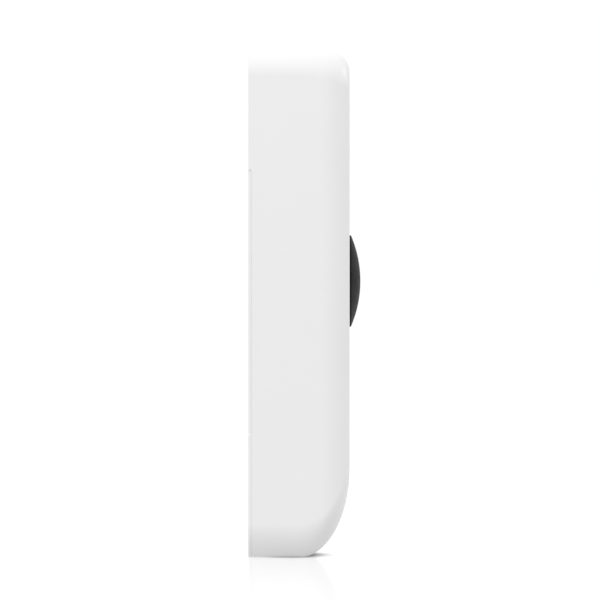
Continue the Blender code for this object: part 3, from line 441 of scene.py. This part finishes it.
def finish_piece(obj, body, slot, *nodes, sharp=35.0):
    """Shades a new piece, gives it its look and body, and hides the CAD nodes it stands for."""
    obj.data.materials.clear()
    obj.data.materials.append(LOOKS[slot].material)
    obj.data.shade_smooth()
    obj.data.set_sharp_from_angle(angle=math.radians(sharp))
    normals = obj.modifiers.new("normals", "WEIGHTED_NORMAL")
    normals.keep_sharp = True
    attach(obj, body)
    if nodes:
        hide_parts(*nodes)
    return obj


def softened(points, radius, steps=4, closed=False):
    """A line whose corners are turned into small curves that start that far from the corner."""
    count = len(points)
    made = []
    for i, corner in enumerate(points):
        here = Vector(corner)
        before = Vector(points[i - 1]) - here
        after = Vector(points[(i + 1) % count]) - here
        end_of_line = not closed and i in (0, count - 1)
        doubled = before.length < TINY or after.length < TINY
        if end_of_line or doubled or before.angle(after) > math.radians(160):
            made.append(tuple(corner))
            continue
        reach = min(radius, before.length * 0.45, after.length * 0.45)
        start = here + before.normalized() * reach
        end = here + after.normalized() * reach
        for k in range(steps + 1):
            t = k / steps
            point = start * (1 - t) ** 2 + here * 2 * t * (1 - t) + end * t**2
            made.append(tuple(point))
    return made


def circle(radius, segments):
    """Points round a circle, anticlockwise from the right."""
    angles = [2 * math.pi * i / segments for i in range(segments)]
    return [(radius * math.cos(a), radius * math.sin(a)) for a in angles]


def turned(name, profile, x, z, segments=96, closed=False):
    """A round piece on an axis through (x, z), from (radius, depth) points."""
    shape = bmesh.new()
    rings = []
    for radius, depth in profile:
        around = circle(radius, segments) if radius > TINY else [(0.0, 0.0)]
        rings.append([shape.verts.new((x + u, -depth, z + v)) for u, v in around])
    pairs = list(zip(rings, rings[1:]))
    if closed:
        pairs.append((rings[-1], rings[0]))
    for a, b in pairs:
        join_rings(shape, a, b)
    return from_shape(name, shape)


def join_rings(shape, a, b):
    """Faces between two rings of as many points, or between a ring and a single point."""
    count = max(len(a), len(b))
    for i in range(count):
        j = (i + 1) % count
        corners = [a[i % len(a)], a[j % len(a)], b[j % len(b)], b[i % len(b)]]
        face = list(dict.fromkeys(corners))
        if len(face) > 2:
            shape.faces.new(face)


def lofted(name, rings, ends=True):
    """A skin through rings of points, with its two ends closed by flat faces."""
    shape = bmesh.new()
    made = [[shape.verts.new(point) for point in ring] for ring in rings]
    for a, b in zip(made, made[1:]):
        join_rings(shape, a, b)
    if ends:
        shape.faces.new(made[0])
    shape.faces.new(made[-1])
    return from_shape(name, shape)


def rounded_rectangle(half_width, half_height, radius, steps=14):
    """Corner arcs, anticlockwise from the lower right."""
    radius = min(radius, half_width - 1e-6, half_height - 1e-6)
    points = []
    for side, up, start in ((1, -1, -90), (1, 1, 0), (-1, 1, 90), (-1, -1, 180)):
        for i in range(steps + 1):
            angle = math.radians(start + 90 * i / steps)
            u = side * (half_width - radius) + radius * math.cos(angle)
            v = up * (half_height - radius) + radius * math.sin(angle)
            points.append((u, v))
    return points


def standing(outline, depth, x=0.0, z=0.0):
    """An outline parallel to the wall, at a depth."""
    return [(x + u, -depth, z + v) for u, v in outline]


def slab(name, outline, back, front, x=0.0, z=0.0):
    return lofted(name, [standing(outline, back, x, z), standing(outline, front, x, z)])


def block(name, low, high):
    """A box between two corners given as (x, depth, z)."""
    outline = [(low[0], low[2]), (high[0], low[2]), (high[0], high[2]), (low[0], high[2])]
    return slab(name, outline, low[1], high[1])


def baked(obj):
    """Replaces an object's mesh by what its modifiers make of it."""
    bpy.context.view_layer.update()
    graph = bpy.context.evaluated_depsgraph_get()
    result = bpy.data.meshes.new_from_object(obj.evaluated_get(graph))
    obj.modifiers.clear()
    obj.data = result
    return obj


def combined(obj, operation, tools):
    """Joins tools to an object or cuts them from it, and removes them."""
    group = bpy.data.collections.new("tools")
    bpy.context.scene.collection.children.link(group)
    for tool in tools:
        group.objects.link(tool)
    modifier = obj.modifiers.new("tools", "BOOLEAN")
    modifier.operation = operation
    modifier.operand_type = "COLLECTION"
    modifier.collection = group
    modifier.solver = "EXACT"
    baked(obj)
    for tool in tools:
        bpy.data.objects.remove(tool)
    bpy.data.collections.remove(group)
    return obj


# ---------------------------------------------------------------- shell


def fallen(depth, edge):
    """How far a rounded edge has come in at a depth: a superellipse that ends at the front."""
    span, height, power = edge
    share = min(1.0, max(0.0, (depth - (FRONT - span)) / span))
    return height * (1.0 - (1.0 - share**power) ** (1.0 / power))


def rim_ease(z):
    """How far the rim stands back from the wall: a little, near the top and bottom."""
    start = HALF_HEIGHT - RIM_EASE_START
    share = min(1.0, max(0.0, (abs(z) - start) / RIM_EASE_SPAN))
    return RIM_EASE * share * share * (3 - 2 * share)


def shell_ring(depth, rim=False):
    """The shell's outline at a depth; the ring at the rim eases away from the wall."""
    inset = fallen(depth, SIDE_EDGE)
    top = HALF_HEIGHT - fallen(depth, TOP_EDGE)
    bottom = -HALF_HEIGHT + fallen(depth, CHIN_EDGE)
    tighter = (CORNER_RADIUS - FRONT_CORNER_RADIUS) * inset / SIDE_EDGE[1]
    outline = rounded_rectangle(HALF_WIDTH - inset, (top - bottom) / 2, CORNER_RADIUS - tighter)
    lift = (top + bottom) / 2
    points = [(u, v + lift) for u, v in outline]
    return [(x, -depth - (rim_ease(z) if rim else 0.0), z) for x, z in points]


def shell_depths():
    """Ring depths that follow the curves of the three edges, without rings that nearly meet."""
    found = [RIM_DEPTH, 1.6 * MM, 4.0 * MM, 7.0 * MM]
    for (span, _, power), steps in ((TOP_EDGE, 26), (CHIN_EDGE, 44), (SIDE_EDGE, 24)):
        for i in range(steps):
            found.append(FRONT - span + span * math.sin(math.pi / 2 * i / steps) ** (2 / power))
    kept = []
    for depth in sorted(found):
        if not kept or depth - kept[-1] > 0.012 * MM:
            kept.append(depth)
    return [d for d in kept if FRONT - d > 0.004 * MM] + [FRONT]


def shell_skin():
    rings = [shell_ring(depth, i == 0) for i, depth in enumerate(shell_depths())]
    skin = lofted("shell_skin", rings, ends=False)
    wall = skin.modifiers.new("wall", "SOLIDIFY")
    wall.thickness = WALL
    wall.offset = -1.0
    wall.use_even_offset = True
    return baked(skin)


def flared_hole(name, outline_at, back, front=FRONT, lip=LIP):
    """A cutter for a hole whose front edge is rounded over; outline_at(grown) gives its outline."""
    rings = [outline_at(0.0, back), outline_at(0.0, front - lip)]
    for degrees in (20, 40, 60, 78):
        turn = math.radians(degrees)
        rings.append(outline_at(lip * (1 - math.cos(turn)), front - lip + lip * math.sin(turn)))
    rings.append(outline_at(lip * 1.1, front + 0.3 * MM))
    return lofted(name, rings)


def circle_at(radius, x, z, segments=128):
    def outline(grown, depth):
        return standing(circle(radius + grown, segments), depth, x, z)

    return outline


def stadium_at(half, x, z):
    def outline(grown, depth):
        reach = (half[0] + grown, half[1] + grown)
        return standing(rounded_rectangle(*reach, min(reach)), depth, x, z)

    return outline


def lying_stadium(half, x, depth):
    """Outlines for a slot in the shell's underside; the hole's axis stands up."""

    def outline(grown, below):
        reach = (half[0] + grown, half[1] + grown)
        return [(x + u, -depth - v, -below) for u, v in rounded_rectangle(*reach, min(reach), 6)]

    return outline


def lying_circle(radius, depth, segments=48):
    def outline(grown, below):
        return [(u, -depth + v, -below) for u, v in circle(radius + grown, segments)]

    return outline


def below_line(outline, top):
    return [(u, min(v, top)) for u, v in outline]


def shell_ledge(reach):
    """The ledge that the back cover's gasket presses on."""
    outer = rounded_rectangle(*reach, CORNER_RADIUS - WALL + INTO_WALL)
    ledge = slab("ledge", outer, *LEDGE_DEPTHS)
    hollow = slab("hollow", rounded_rectangle(*LEDGE_HOLLOW), *LEDGE_HOLLOW_DEPTHS)
    return combined(ledge, "DIFFERENCE", [hollow])


def screw_boss(place, reach):
    """A boss for a cover screw, and the rib that ties it to the side wall."""
    side = math.copysign(1.0, place.x)
    ends = sorted((place.x + side * BOSS_RIB_START, side * reach))
    low = (ends[0], BOSS_RIB_DEPTHS[0], place.z - BOSS_RIB_HALF)
    high = (ends[1], BOSS_RIB_DEPTHS[1], place.z + BOSS_RIB_HALF)
    return [turned("boss", in_mm(BOSS), place.x, place.z, 32), block("boss_rib", low, high)]


def post_front():
    """The front end of a moulded post, in mm: a little way into the front wall."""
    return (FRONT - WALL + INTO_WALL) / MM


def camera_post(place):
    front = post_front()
    post = [(0, front), (CAMERA_POST_BACK[0][0], front), *CAMERA_POST_BACK]
    return turned("camera_post", in_mm(post), place.x, place.z, 32)


def board_stake(board, x, z):
    """A post with a thin pin that passes through a board and is melted over behind it."""
    front = post_front()
    back = -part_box(board)[1].y / MM
    shoulder = back + 1.3
    stake = [(0, front), (1.8, front), (1.8, shoulder), (0.8, shoulder)]
    stake += [(0.8, back - 0.3), (1.4, back - 0.3), (1.1, back - 0.9), (0, back - 0.9)]
    return turned("stake", in_mm(stake), x, z, 24)


def shell_inside():
    """What is moulded inside the shell: ledge, screw bosses, posts, stakes, hook ribs."""
    reach = (HALF_WIDTH - WALL + INTO_WALL, HALF_HEIGHT - WALL + INTO_WALL)
    made = [shell_ledge(reach)]
    for i in range(4):
        made += screw_boss(middle(f"cover_screw_{i + 1}"), reach[0])
    for i in range(2):
        made.append(camera_post(middle(f"camera_screw_{i + 1}")))
    for board, x, z in STAKES:
        made += [board_stake(board, side * x, z) for side in (-1, 1)]
    for x in HOOKS_X:
        low = (x - HOOK_RIB_HALF, HOOK_RIB_DEPTHS[0], SWING_Z)
        high = (x + HOOK_RIB_HALF, HOOK_RIB_DEPTHS[1], reach[1])
        made.append(block("hook_rib", low, high))
    low = (-SECURITY_BOSS_HALF, SECURITY_BOSS_DEPTHS[0], -reach[1])
    high = (SECURITY_BOSS_HALF, SECURITY_BOSS_DEPTHS[1], SECURITY_BOSS_TOP)
    made.append(block("security_boss", low, high))
    return made


def in_mm(points):
    return [(radius * MM, depth * MM) for radius, depth in points]


def shell_holes():
    back = FRONT - WALL - 1.0 * MM
    made = [
        flared_hole("dome_hole", circle_at(DOME_RADIUS + FIT, 0, DOME_Z), back),
        flared_hole("button_hole", circle_at(RING_RADIUS + FIT, 0, BUTTON_Z), back),
        flared_hole("window_hole", stadium_at(WINDOW_HALF, 0, WINDOW_Z), back),
        flared_hole("microphone_hole", circle_at(MICROPHONE_RADIUS, 0, MICROPHONE_Z, 32), back),
    ]
    inside = HALF_HEIGHT - WALL - 1.0 * MM
    for i in range(SLOT_COUNT):
        x = (i - (SLOT_COUNT - 1) / 2) * SLOT_PITCH
        slot = lying_stadium(SLOT_HALF, x, SPEAKER_DEPTH)
        made.append(flared_hole("sound_slot", slot, inside, HALF_HEIGHT))
    fine_lip = 0.1 * MM
    head = lying_circle(HEAD_HOLE[0], SCREW_DEPTH)
    head_top = HALF_HEIGHT - HEAD_HOLE[1]
    made.append(flared_hole("counterbore", head, head_top, HALF_HEIGHT, fine_lip))
    shank = lying_circle(SHANK_HOLE_RADIUS, SCREW_DEPTH)
    shank_low = HALF_HEIGHT - 1.0 * MM
    made.append(flared_hole("shank_hole", shank, SHANK_HOLE_TOP, shank_low, fine_lip))
    return made + flange_holes()


def flange_holes():
    """The room for the bracket's flange, with a 45 degree end at its top on each side."""
    margin = 1.0 * MM
    around = rounded_rectangle(HALF_WIDTH + margin, HALF_HEIGHT + margin, CORNER_RADIUS + margin)
    front = SEAM_DEPTH + SEAM_GAP / 2
    made = [slab("flange_room", below_line(around, FLANGE_TOP), -margin, front)]
    slant_top = FLANGE_TOP + RELIEF_INSET + margin
    for side in (-1, 1):
        inner = side * (HALF_WIDTH - RELIEF_INSET)
        outer = side * (HALF_WIDTH + margin)
        slant = [(inner, FLANGE_TOP), (outer, FLANGE_TOP), (outer, slant_top)]
        made.append(slab("relief_end", slant, -margin, front))
    return made


def make_shell():
    shell = combined(shell_skin(), "UNION", shell_inside())
    shell.name = "shell"
    combined(shell, "DIFFERENCE", shell_holes())
    finish_piece(shell, "unit", "white_plastic", "front_shell")


# ---------------------------------------------------------------- camera


def cap_arc(base_radius, base_depth, apex, steps=20):
    """A spherical cap from its top on the axis to its base, as (radius, depth) points."""
    rise = apex - base_depth
    sphere = (base_radius**2 + rise**2) / (2 * rise)
    widest = math.asin(base_radius / sphere)
    turns = [widest * i / steps for i in range(steps + 1)]
    return [(sphere * math.sin(t), apex - sphere + sphere * math.cos(t)) for t in turns]


def make_dome():
    """The thin smoked dome, its short straight rim and the flange behind the shell."""
    rim = FRONT + DOME_RIM
    inner = DOME_RADIUS - DOME_WALL
    flange_back = -DOME_HIGH.y
    flange_front = flange_back + 1.2 * MM
    outside = cap_arc(DOME_RADIUS, rim, DOME_APEX)
    inside = cap_arc(inner, rim - 0.4 * MM, DOME_APEX - DOME_WALL)
    side = [(DOME_RADIUS, flange_front), (DOME_HIGH.x, flange_front), (DOME_HIGH.x, flange_back)]
    side = softened([outside[-1], *side, (inner, flange_back), inside[-1]], 0.2 * MM)
    profile = outside[:-1] + side[:-1] + inside[::-1]
    dome = turned("dome", profile, 0, DOME_Z, 144)
    finish_piece(dome, "unit", "smoked_dome", "camera_dome", sharp=60.0)


def barrel_grooves(outer, front):
    """Five grooves round the barrel, near its front."""
    made = []
    for i in range(5):
        depth = front - (1.2 + 0.9 * i) * MM
        made += [(outer, depth), (outer - 0.2 * MM, depth - 0.15 * MM)]
        made += [(outer - 0.2 * MM, depth - 0.45 * MM), (outer, depth - 0.6 * MM)]
    return made


def barrel_steps(rear):
    """Fine steps inside the barrel, which catch stray light."""
    made = []
    for i in range(4):
        radius = (4.3 + 0.4 * i) * MM
        depth = rear + (5.5 + 0.25 * i) * MM
        made += [(radius, depth), (radius + 0.2 * MM, depth)]
    return made


def make_barrel():
    """The lens barrel: bezel, grooves, rear shoulder, and the steps in front of the lens."""
    low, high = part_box("lens_barrel")
    front, rear, outer = -low.y, -high.y, high.x
    points = [(5.9 * MM, front - 0.2 * MM), (6.6 * MM, front), (outer, front - 0.2 * MM)]
    points += barrel_grooves(outer, front)
    points += [(outer, rear + 1.4 * MM), (5.7 * MM, rear + 1.4 * MM), (5.7 * MM, rear)]
    points += [(2.6 * MM, rear), (2.6 * MM, rear + 0.5 * MM), (3.9 * MM, rear + 0.5 * MM)]
    points += [(3.9 * MM, rear + 2.3 * MM), (2.4 * MM, rear + 2.3 * MM)]
    points += [(2.4 * MM, rear + 5.3 * MM), (4.2 * MM, rear + 5.3 * MM)]
    points += barrel_steps(rear)
    points += [(5.9 * MM, rear + 6.5 * MM)]
    points = softened(points, 0.1 * MM, 2, closed=True)
    barrel = turned("barrel", points, 0, DOME_Z, 96, closed=True)
    finish_piece(barrel, "unit", "black_plastic", "lens_barrel")


def make_front_glass():
    low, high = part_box("front_lens")
    front, rear = -low.y, -high.y
    points = cap_arc(high.x, front - 1.45 * MM, front, 16)
    points += [(high.x, rear + 0.9 * MM), (4.6 * MM, rear + 0.6 * MM)]
    points += [(2.4 * MM, rear + 0.1 * MM), (0, rear)]
    glass = turned("front_glass", points, 0, DOME_Z, 96)
    finish_piece(glass, "unit", "lens_glass", "front_lens")


def make_baffle():
    """The soft ring between the lens and the dome."""
    low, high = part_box("light_baffle")
    inner = 7.3 * MM
    points = [(inner, -low.y), (high.x, -low.y), (high.x, -high.y), (inner, -high.y)]
    points = softened(points, 0.25 * MM, closed=True)
    baffle = turned("baffle", points, 0, DOME_Z, 96, closed=True)
    finish_piece(baffle, "unit", "rubber", "light_baffle")


# ---------------------------------------------------------------- button and windows


def make_button_cap():
    """The button's slightly dished cap, its flange and the stem that reaches the switch."""
    low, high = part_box("button_cap")
    front, rear = -low.y, -high.y
    inner_front = 25.0 * MM
    dish = [(i * 0.93 * MM, front - CAP_DISH * (1 - (i / 10) ** 2)) for i in range(11)]
    edge = [(9.75 * MM, front - 0.06 * MM), (CAP_RADIUS, front - 0.3 * MM)]
    edge += [(CAP_RADIUS, rear + 0.9 * MM)]
    inside = [(high.x, rear + 0.9 * MM), (high.x, rear), (8.6 * MM, rear), (8.6 * MM, inner_front)]
    inside += [(2.2 * MM, inner_front), (2.2 * MM, rear - 0.5 * MM), (0, rear - 0.5 * MM)]
    profile = dish + softened([dish[-1], *edge, *inside], 0.14 * MM)[1:]
    cap = turned("bell_button", profile, 0, BUTTON_Z, 128)
    finish_piece(cap, "bell_button", "white_plastic", "button_cap")


def make_light_ring():
    low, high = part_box("light_ring")
    front, rear = -low.y, -high.y
    inner = CAP_RADIUS + 0.2 * MM
    ring = [(inner, front), (RING_RADIUS, front), (RING_RADIUS, rear + 1.3 * MM)]
    ring += [(high.x, rear + 1.3 * MM), (high.x, rear), (inner, rear)]
    ring = softened(ring, 0.3 * MM, closed=True)
    glow = turned("glow_ring", ring, 0, BUTTON_Z, 128, closed=True)
    finish_piece(glow, "unit", "light_diffuser", "light_ring")


def make_window():
    """The motion sensor's window, with the fine steps of its lens moulded in."""
    low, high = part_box("pir_window")
    front, rear = -low.y, -high.y
    half = (WINDOW_HALF[0] - FIT, WINDOW_HALF[1] - FIT)
    flange = (high.x, high.z - WINDOW_Z)
    lens_front = front - 0.02 * MM
    round_over = 0.3 * MM
    step = 0.5 * MM

    def ring(shrunk, depth, size=half):
        reach = (size[0] - shrunk, size[1] - shrunk)
        return standing(rounded_rectangle(*reach, min(reach)), depth, 0, WINDOW_Z)

    rings = [ring(0, rear, flange), ring(0, rear + 1.2 * MM, flange), ring(0, rear + 1.2 * MM)]
    for degrees in (0, 25, 50, 70, 90):
        turn = math.radians(degrees)
        shrunk = round_over * (1 - math.cos(turn))
        rings.append(ring(shrunk, front - round_over * (1 - math.sin(turn))))
    for i in range(6):
        start = 0.5 * MM + i * step
        rings.append(ring(start, lens_front))
        rings.append(ring(start + 0.05 * MM, front - 0.14 * MM))
        rings.append(ring(start + step - 0.08 * MM, lens_front))
    rings.append(ring(3.6 * MM, lens_front))
    window = lofted("motion_window", rings)
    finish_piece(window, "unit", "light_diffuser", "pir_window", sharp=30.0)


# ---------------------------------------------------------------- bracket


def flange_outline(shrunk):
    """The shell's outline up to the flange's top, set in above RELIEF_LOW by a 45 degree step."""
    reach = (HALF_WIDTH - shrunk, HALF_HEIGHT - shrunk)
    arcs = rounded_rectangle(*reach, CORNER_RADIUS - shrunk)
    low = [point for point in arcs if point[1] < 0]
    inset = reach[0] - RELIEF_INSET
    top = FLANGE_TOP - SEAM_GAP - shrunk
    right = [(reach[0], RELIEF_LOW - RELIEF_INSET), (inset, RELIEF_LOW), (inset, top)]
    left = [(-u, v) for u, v in right[::-1]]
    lower_right = [point for point in low if point[0] > 0]
    lower_left = [point for point in low if point[0] < 0]
    return lower_right + right + left + lower_left


def eased_slab(name, outline_at, back, front, ease):
    """A plate with its outer edges rounded over; outline_at(shrunk) gives its outline."""
    turns = [math.radians(degrees) for degrees in (0, 30, 60, 90)]
    rounding = [(ease * (1 - math.sin(turn)), ease * (1 - math.cos(turn))) for turn in turns]
    rings = [standing(outline_at(shrunk), back + rise) for shrunk, rise in rounding]
    rings += [standing(outline_at(shrunk), front - rise) for shrunk, rise in rounding[::-1]]
    return lofted(name, rings)


def plate_outline(shrunk):
    reach = (PLATE_HALF[0] - shrunk, PLATE_HALF[1] - shrunk)
    return rounded_rectangle(*reach, PLATE_CORNER - shrunk)


def bracket_hook(x):
    """A hook at the bracket's top: the arm that reaches out and the lip that the unit hangs on."""
    left, right = x - HOOK_HALF, x + HOOK_HALF
    arm_low = (left, INTO_PLATE, HOOK_ARM_Z[0])
    lip_low = (left, HOOK_LIP_BACK, HOOK_LIP_Z[0])
    arm = block("hook_reach", arm_low, (right, HOOK_FRONT, HOOK_ARM_Z[1]))
    return [arm, block("hook_lip", lip_low, (right, HOOK_FRONT, HOOK_LIP_Z[1]))]


def bracket_rib(x):
    low = (x - RIB_HALF, INTO_PLATE, -RIB_REACH)
    return block("rib", low, (x + RIB_HALF, RIB_FRONT, RIB_REACH))


def make_bracket():
    """The wall bracket: plate, flange, hooks, clamp tab and ribs, less its holes."""
    bracket = eased_slab("wall_bracket", plate_outline, 0.0, PLATE_DEPTH, PLATE_EASE)
    flange_front = SEAM_DEPTH - SEAM_GAP / 2
    added = [eased_slab("flange", flange_outline, 0.0, flange_front, FLANGE_EASE)]
    for x in HOOKS_X:
        added += bracket_hook(x)
    tab_low = (-TAB_HALF, INTO_PLATE, TAB_Z[0])
    added.append(block("clamp_tab", tab_low, (TAB_HALF, TAB_FRONT, TAB_Z[1])))
    added += [bracket_rib(side * RIB_X) for side in (-1, 1)]
    combined(bracket, "UNION", added)
    combined(bracket, "DIFFERENCE", bracket_holes())
    finish_piece(bracket, "bracket", "white_plastic", "mounting_bracket")


def rounded_at(half, radius, x, z):
    """Outlines of a rounded hole in a plate, grown at its lips."""

    def outline(grown, depth):
        outline_2d = rounded_rectangle(half[0] + grown, half[1] + grown, radius + grown, 10)
        return standing(outline_2d, depth, x, z)

    return outline


def wall_side_hole(name, outline_at, end, lip=0.2 * MM):
    """A cutter from the wall face to a depth, its edge at the wall face rounded over."""
    rings = [outline_at(lip * 1.1, -0.4 * MM)]
    for degrees in (78, 60, 40, 20, 0):
        turn = math.radians(degrees)
        rings.append(outline_at(lip * (1 - math.cos(turn)), lip - lip * math.sin(turn)))
    rings.append(outline_at(0.0, end))
    return lofted(name, rings)


def bracket_holes():
    """The wall-screw slots with their sunk heads, the cable hole and the pockets."""
    made = []
    through = 3.0 * MM
    for z in WALL_SLOTS_Z:
        slot = rounded_at(WALL_SLOT_HALF, WALL_SLOT_HALF[0], 0, z)
        made.append(wall_side_hole("wall_slot", slot, through))
        sunk = rounded_rectangle(*HEAD_RECESS_HALF, HEAD_RECESS_HALF[0])
        made.append(slab("head_recess", sunk, HEAD_RECESS_START, through, 0, z))
    cable = rounded_at(CABLE_HALF, CABLE_CORNER, 0, CABLE_Z)
    made.append(wall_side_hole("cable_hole", cable, through, 0.3 * MM))
    for side in (-1, 1):
        for x, z, half in BRACKET_POCKETS:
            half = (half[0] * MM, half[1] * MM)
            pocket = rounded_at(half, POCKET_CORNER, side * x * MM, z * MM)
            made.append(wall_side_hole("pocket", pocket, POCKET_DEPTH, 0.12 * MM))
    return made


# ---------------------------------------------------------------- screw


def screw_profile(radius, head, tip):
    """The screw from its tip to its head, with five turns of thread, as (radius, depth) points."""
    thread, core, pitch, neck = 1.0 * MM, 0.82 * MM, 0.4 * MM, head - 0.9 * MM
    profile = [(0, tip), (0.7 * MM, tip), (thread, tip + 0.3 * MM)]
    for i in range(5):
        start = tip + 0.35 * MM + i * pitch
        profile += [(thread, start), (core, start + pitch / 2)]
    return profile + [(thread, neck), (radius, neck), (radius, head), (0, head)]


def make_security_screw():
    """The screw in the shell's underside, with a hexagon socket in its head."""
    low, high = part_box("security_screw")
    head, tip = -low.z, -high.z
    profile = softened(screw_profile(high.x, head, tip), 0.12 * MM, 3)
    screw = turned("clamp_screw", profile, 0, 0, 48)
    reach = 0.85 * MM
    bottom, above = head - 0.5 * MM, head + 1 * MM
    socket = turned("socket", [(0, bottom), (reach, bottom), (reach, above), (0, above)], 0, 0, 6)
    combined(screw, "DIFFERENCE", [socket])
    stand_up = Matrix.Rotation(-math.pi / 2, 4, "X")
    screw.data.transform(Matrix.Translation((0, -SCREW_DEPTH, 0)) @ stand_up)
    finish_piece(screw, "unit", "steel", "security_screw")


# ---------------------------------------------------------------- studio


def floor_material():
    """Pale, lit from within by a part, polished, and darkened close under the doorbell by a painted
    shade.
    """
    material = bpy.data.materials.new("floor")
    material.use_nodes = True
    nodes, links = material.node_tree.nodes, material.node_tree.links
    nodes.clear()
    matt = nodes.new("ShaderNodeBsdfDiffuse")
    matt.inputs["Color"].default_value = FLOOR_COLOUR
    lit = nodes.new("ShaderNodeEmission")
    lit.inputs["Strength"].default_value = FLOOR_GLOW
    polished = nodes.new("ShaderNodeBsdfGlossy")
    polished.inputs["Color"].default_value = WHITE
    polished.inputs["Roughness"].default_value = FLOOR_ROUGHNESS
    # The painted shadow's colour: a dim glow that the floor turns to under the doorbell, in place of
    # a cast shadow.
    dark = nodes.new("ShaderNodeEmission")
    dark.inputs["Strength"].default_value = CONTACT_GLOW
    pale = mixed(nodes, links, FLOOR_LIT, matt, lit)
    pale = mixed(nodes, links, FLOOR_POLISH, pale, polished)
    shaded = mixed(nodes, links, 0.0, pale, dark)
    links.new(painted_contact_shade(nodes, links), shaded.inputs["Fac"])
    output = nodes.new("ShaderNodeOutputMaterial")
    links.new(shaded.outputs[0], output.inputs["Surface"])
    return material


def painted_contact_shade(nodes, links):
    """How dark the painted shade on the floor is: full under the doorbell, and fading out round an
    ellipse.
    """
    place = nodes.new("ShaderNodeMapping")
    place.inputs["Location"].default_value = (0.0, -CONTACT_Y / CONTACT_HALF[1], 0.0)
    place.inputs["Scale"].default_value = (1 / CONTACT_HALF[0], 1 / CONTACT_HALF[1], 0.0)
    links.new(nodes.new("ShaderNodeTexCoord").outputs["Object"], place.inputs["Vector"])
    away = nodes.new("ShaderNodeVectorMath")
    away.operation = "LENGTH"
    links.new(place.outputs["Vector"], away.inputs[0])
    shade = nodes.new("ShaderNodeMapRange")
    shade.interpolation_type = "SMOOTHSTEP"
    shade.inputs["From Min"].default_value = CONTACT_CORE
    shade.inputs["From Max"].default_value = 1.0
    shade.inputs["To Min"].default_value = CONTACT_SHADE
    shade.inputs["To Max"].default_value = 0.0
    links.new(away.outputs["Value"], shade.inputs["Value"])
    return shade.outputs["Result"]


def make_floor():
    shape = bmesh.new()
    corners = [(-1, -1), (1, -1), (1, 1), (-1, 1)]
    verts = [shape.verts.new((x * FLOOR_HALF, y * FLOOR_HALF, FLOOR_Z)) for x, y in corners]
    shape.faces.new(verts)
    floor = from_shape("floor", shape)
    floor.data.materials.append(floor_material())
    floor.visible_diffuse = False
    floor.visible_shadow = False


def mixed(nodes, links, share, first, second):
    mix = nodes.new("ShaderNodeMixShader")
    mix.inputs["Fac"].default_value = share
    links.new(first.outputs[0], mix.inputs[1])
    links.new(second.outputs[0], mix.inputs[2])
    return mix


def component_along(nodes, links, direction, axis):
    """How far a direction points along an axis."""
    product = nodes.new("ShaderNodeVectorMath")
    product.operation = "DOT_PRODUCT"
    product.inputs[1].default_value = axis
    links.new(direction, product.inputs[0])
    return product.outputs["Value"]


def light_level(nodes, links):
    """The light from each direction: a level, a slope, and the card."""
    direction = nodes.new("ShaderNodeTexCoord").outputs["Generated"]
    level = nodes.new("ShaderNodeMath")
    level.inputs[1].default_value = LIGHT_LEVEL
    links.new(component_along(nodes, links, direction, LIGHT_SLOPE), level.inputs[0])
    edge, full = (math.cos(math.radians(degrees)) for degrees in CARD_EDGE_DEGREES)
    card = nodes.new("ShaderNodeMapRange")
    card.inputs["From Min"].default_value = edge
    card.inputs["From Max"].default_value = full
    card.inputs["To Min"].default_value = 0.0
    card.inputs["To Max"].default_value = CARD_LEVEL
    links.new(component_along(nodes, links, direction, CARD_DIRECTION), card.inputs["Value"])
    total = nodes.new("ShaderNodeMath")
    links.new(level.outputs["Value"], total.inputs[0])
    links.new(card.outputs["Result"], total.inputs[1])
    return total.outputs["Value"]


def make_world():
    """Soft light from all round, stronger from above and the wall side, on a white backdrop."""
    world = bpy.data.worlds.new("studio")
    bpy.context.scene.world = world
    world.use_nodes = True
    nodes, links = world.node_tree.nodes, world.node_tree.links
    nodes.clear()
    light = nodes.new("ShaderNodeBackground")
    links.new(light_level(nodes, links), light.inputs["Strength"])
    backdrop = nodes.new("ShaderNodeBackground")
    backdrop.inputs["Strength"].default_value = BACKDROP_LEVEL
    for node in (light, backdrop):
        node.inputs["Color"].default_value = WHITE
    chosen = mixed(nodes, links, 0.0, light, backdrop)
    links.new(nodes.new("ShaderNodeLightPath").outputs["Is Camera Ray"], chosen.inputs["Fac"])
    output = nodes.new("ShaderNodeOutputWorld")
    links.new(chosen.outputs[0], output.inputs["Surface"])


def make_softbox(name, place, size, power):
    lamp = bpy.data.lights.new(name, "AREA")
    lamp.shape = "RECTANGLE"
    lamp.size, lamp.size_y = size
    lamp.energy = power
    softbox = bpy.data.objects.new(name, lamp)
    bpy.context.scene.collection.objects.link(softbox)
    softbox.location = place
    softbox.rotation_euler = Vector(place).to_track_quat("Z", "Y").to_euler()
    softbox.visible_camera = False


def make_camera():
    camera = bpy.data.objects.new("camera", bpy.data.cameras.new("camera"))
    bpy.context.scene.collection.objects.link(camera)
    camera.data.sensor_width = SENSOR_WIDTH
    camera.data.lens = SENSOR_WIDTH * (CAMERA_DISTANCE - NEAREST_EDGE) / SEEN_WIDTH
    camera.location = CAMERA_PLACE
    camera.rotation_euler = (math.pi / 2, 0.0, -math.pi / 2)
    camera.data.clip_start = 0.01
    camera.data.clip_end = 200.0
    bpy.context.scene.camera = camera
    bpy.context.scene.view_settings.view_transform = "Standard"


def main():
    make_shell()
    make_dome()
    make_barrel()
    make_front_glass()
    make_baffle()
    make_button_cap()
    make_light_ring()
    make_window()
    make_bracket()
    make_security_screw()
    dress_frame()
    make_floor()
    make_world()
    make_softbox("key_softbox", *KEY_SOFTBOX)
    make_softbox("front_softbox", *FRONT_SOFTBOX)
    make_camera()
    bpy.context.view_layer.update()


main()
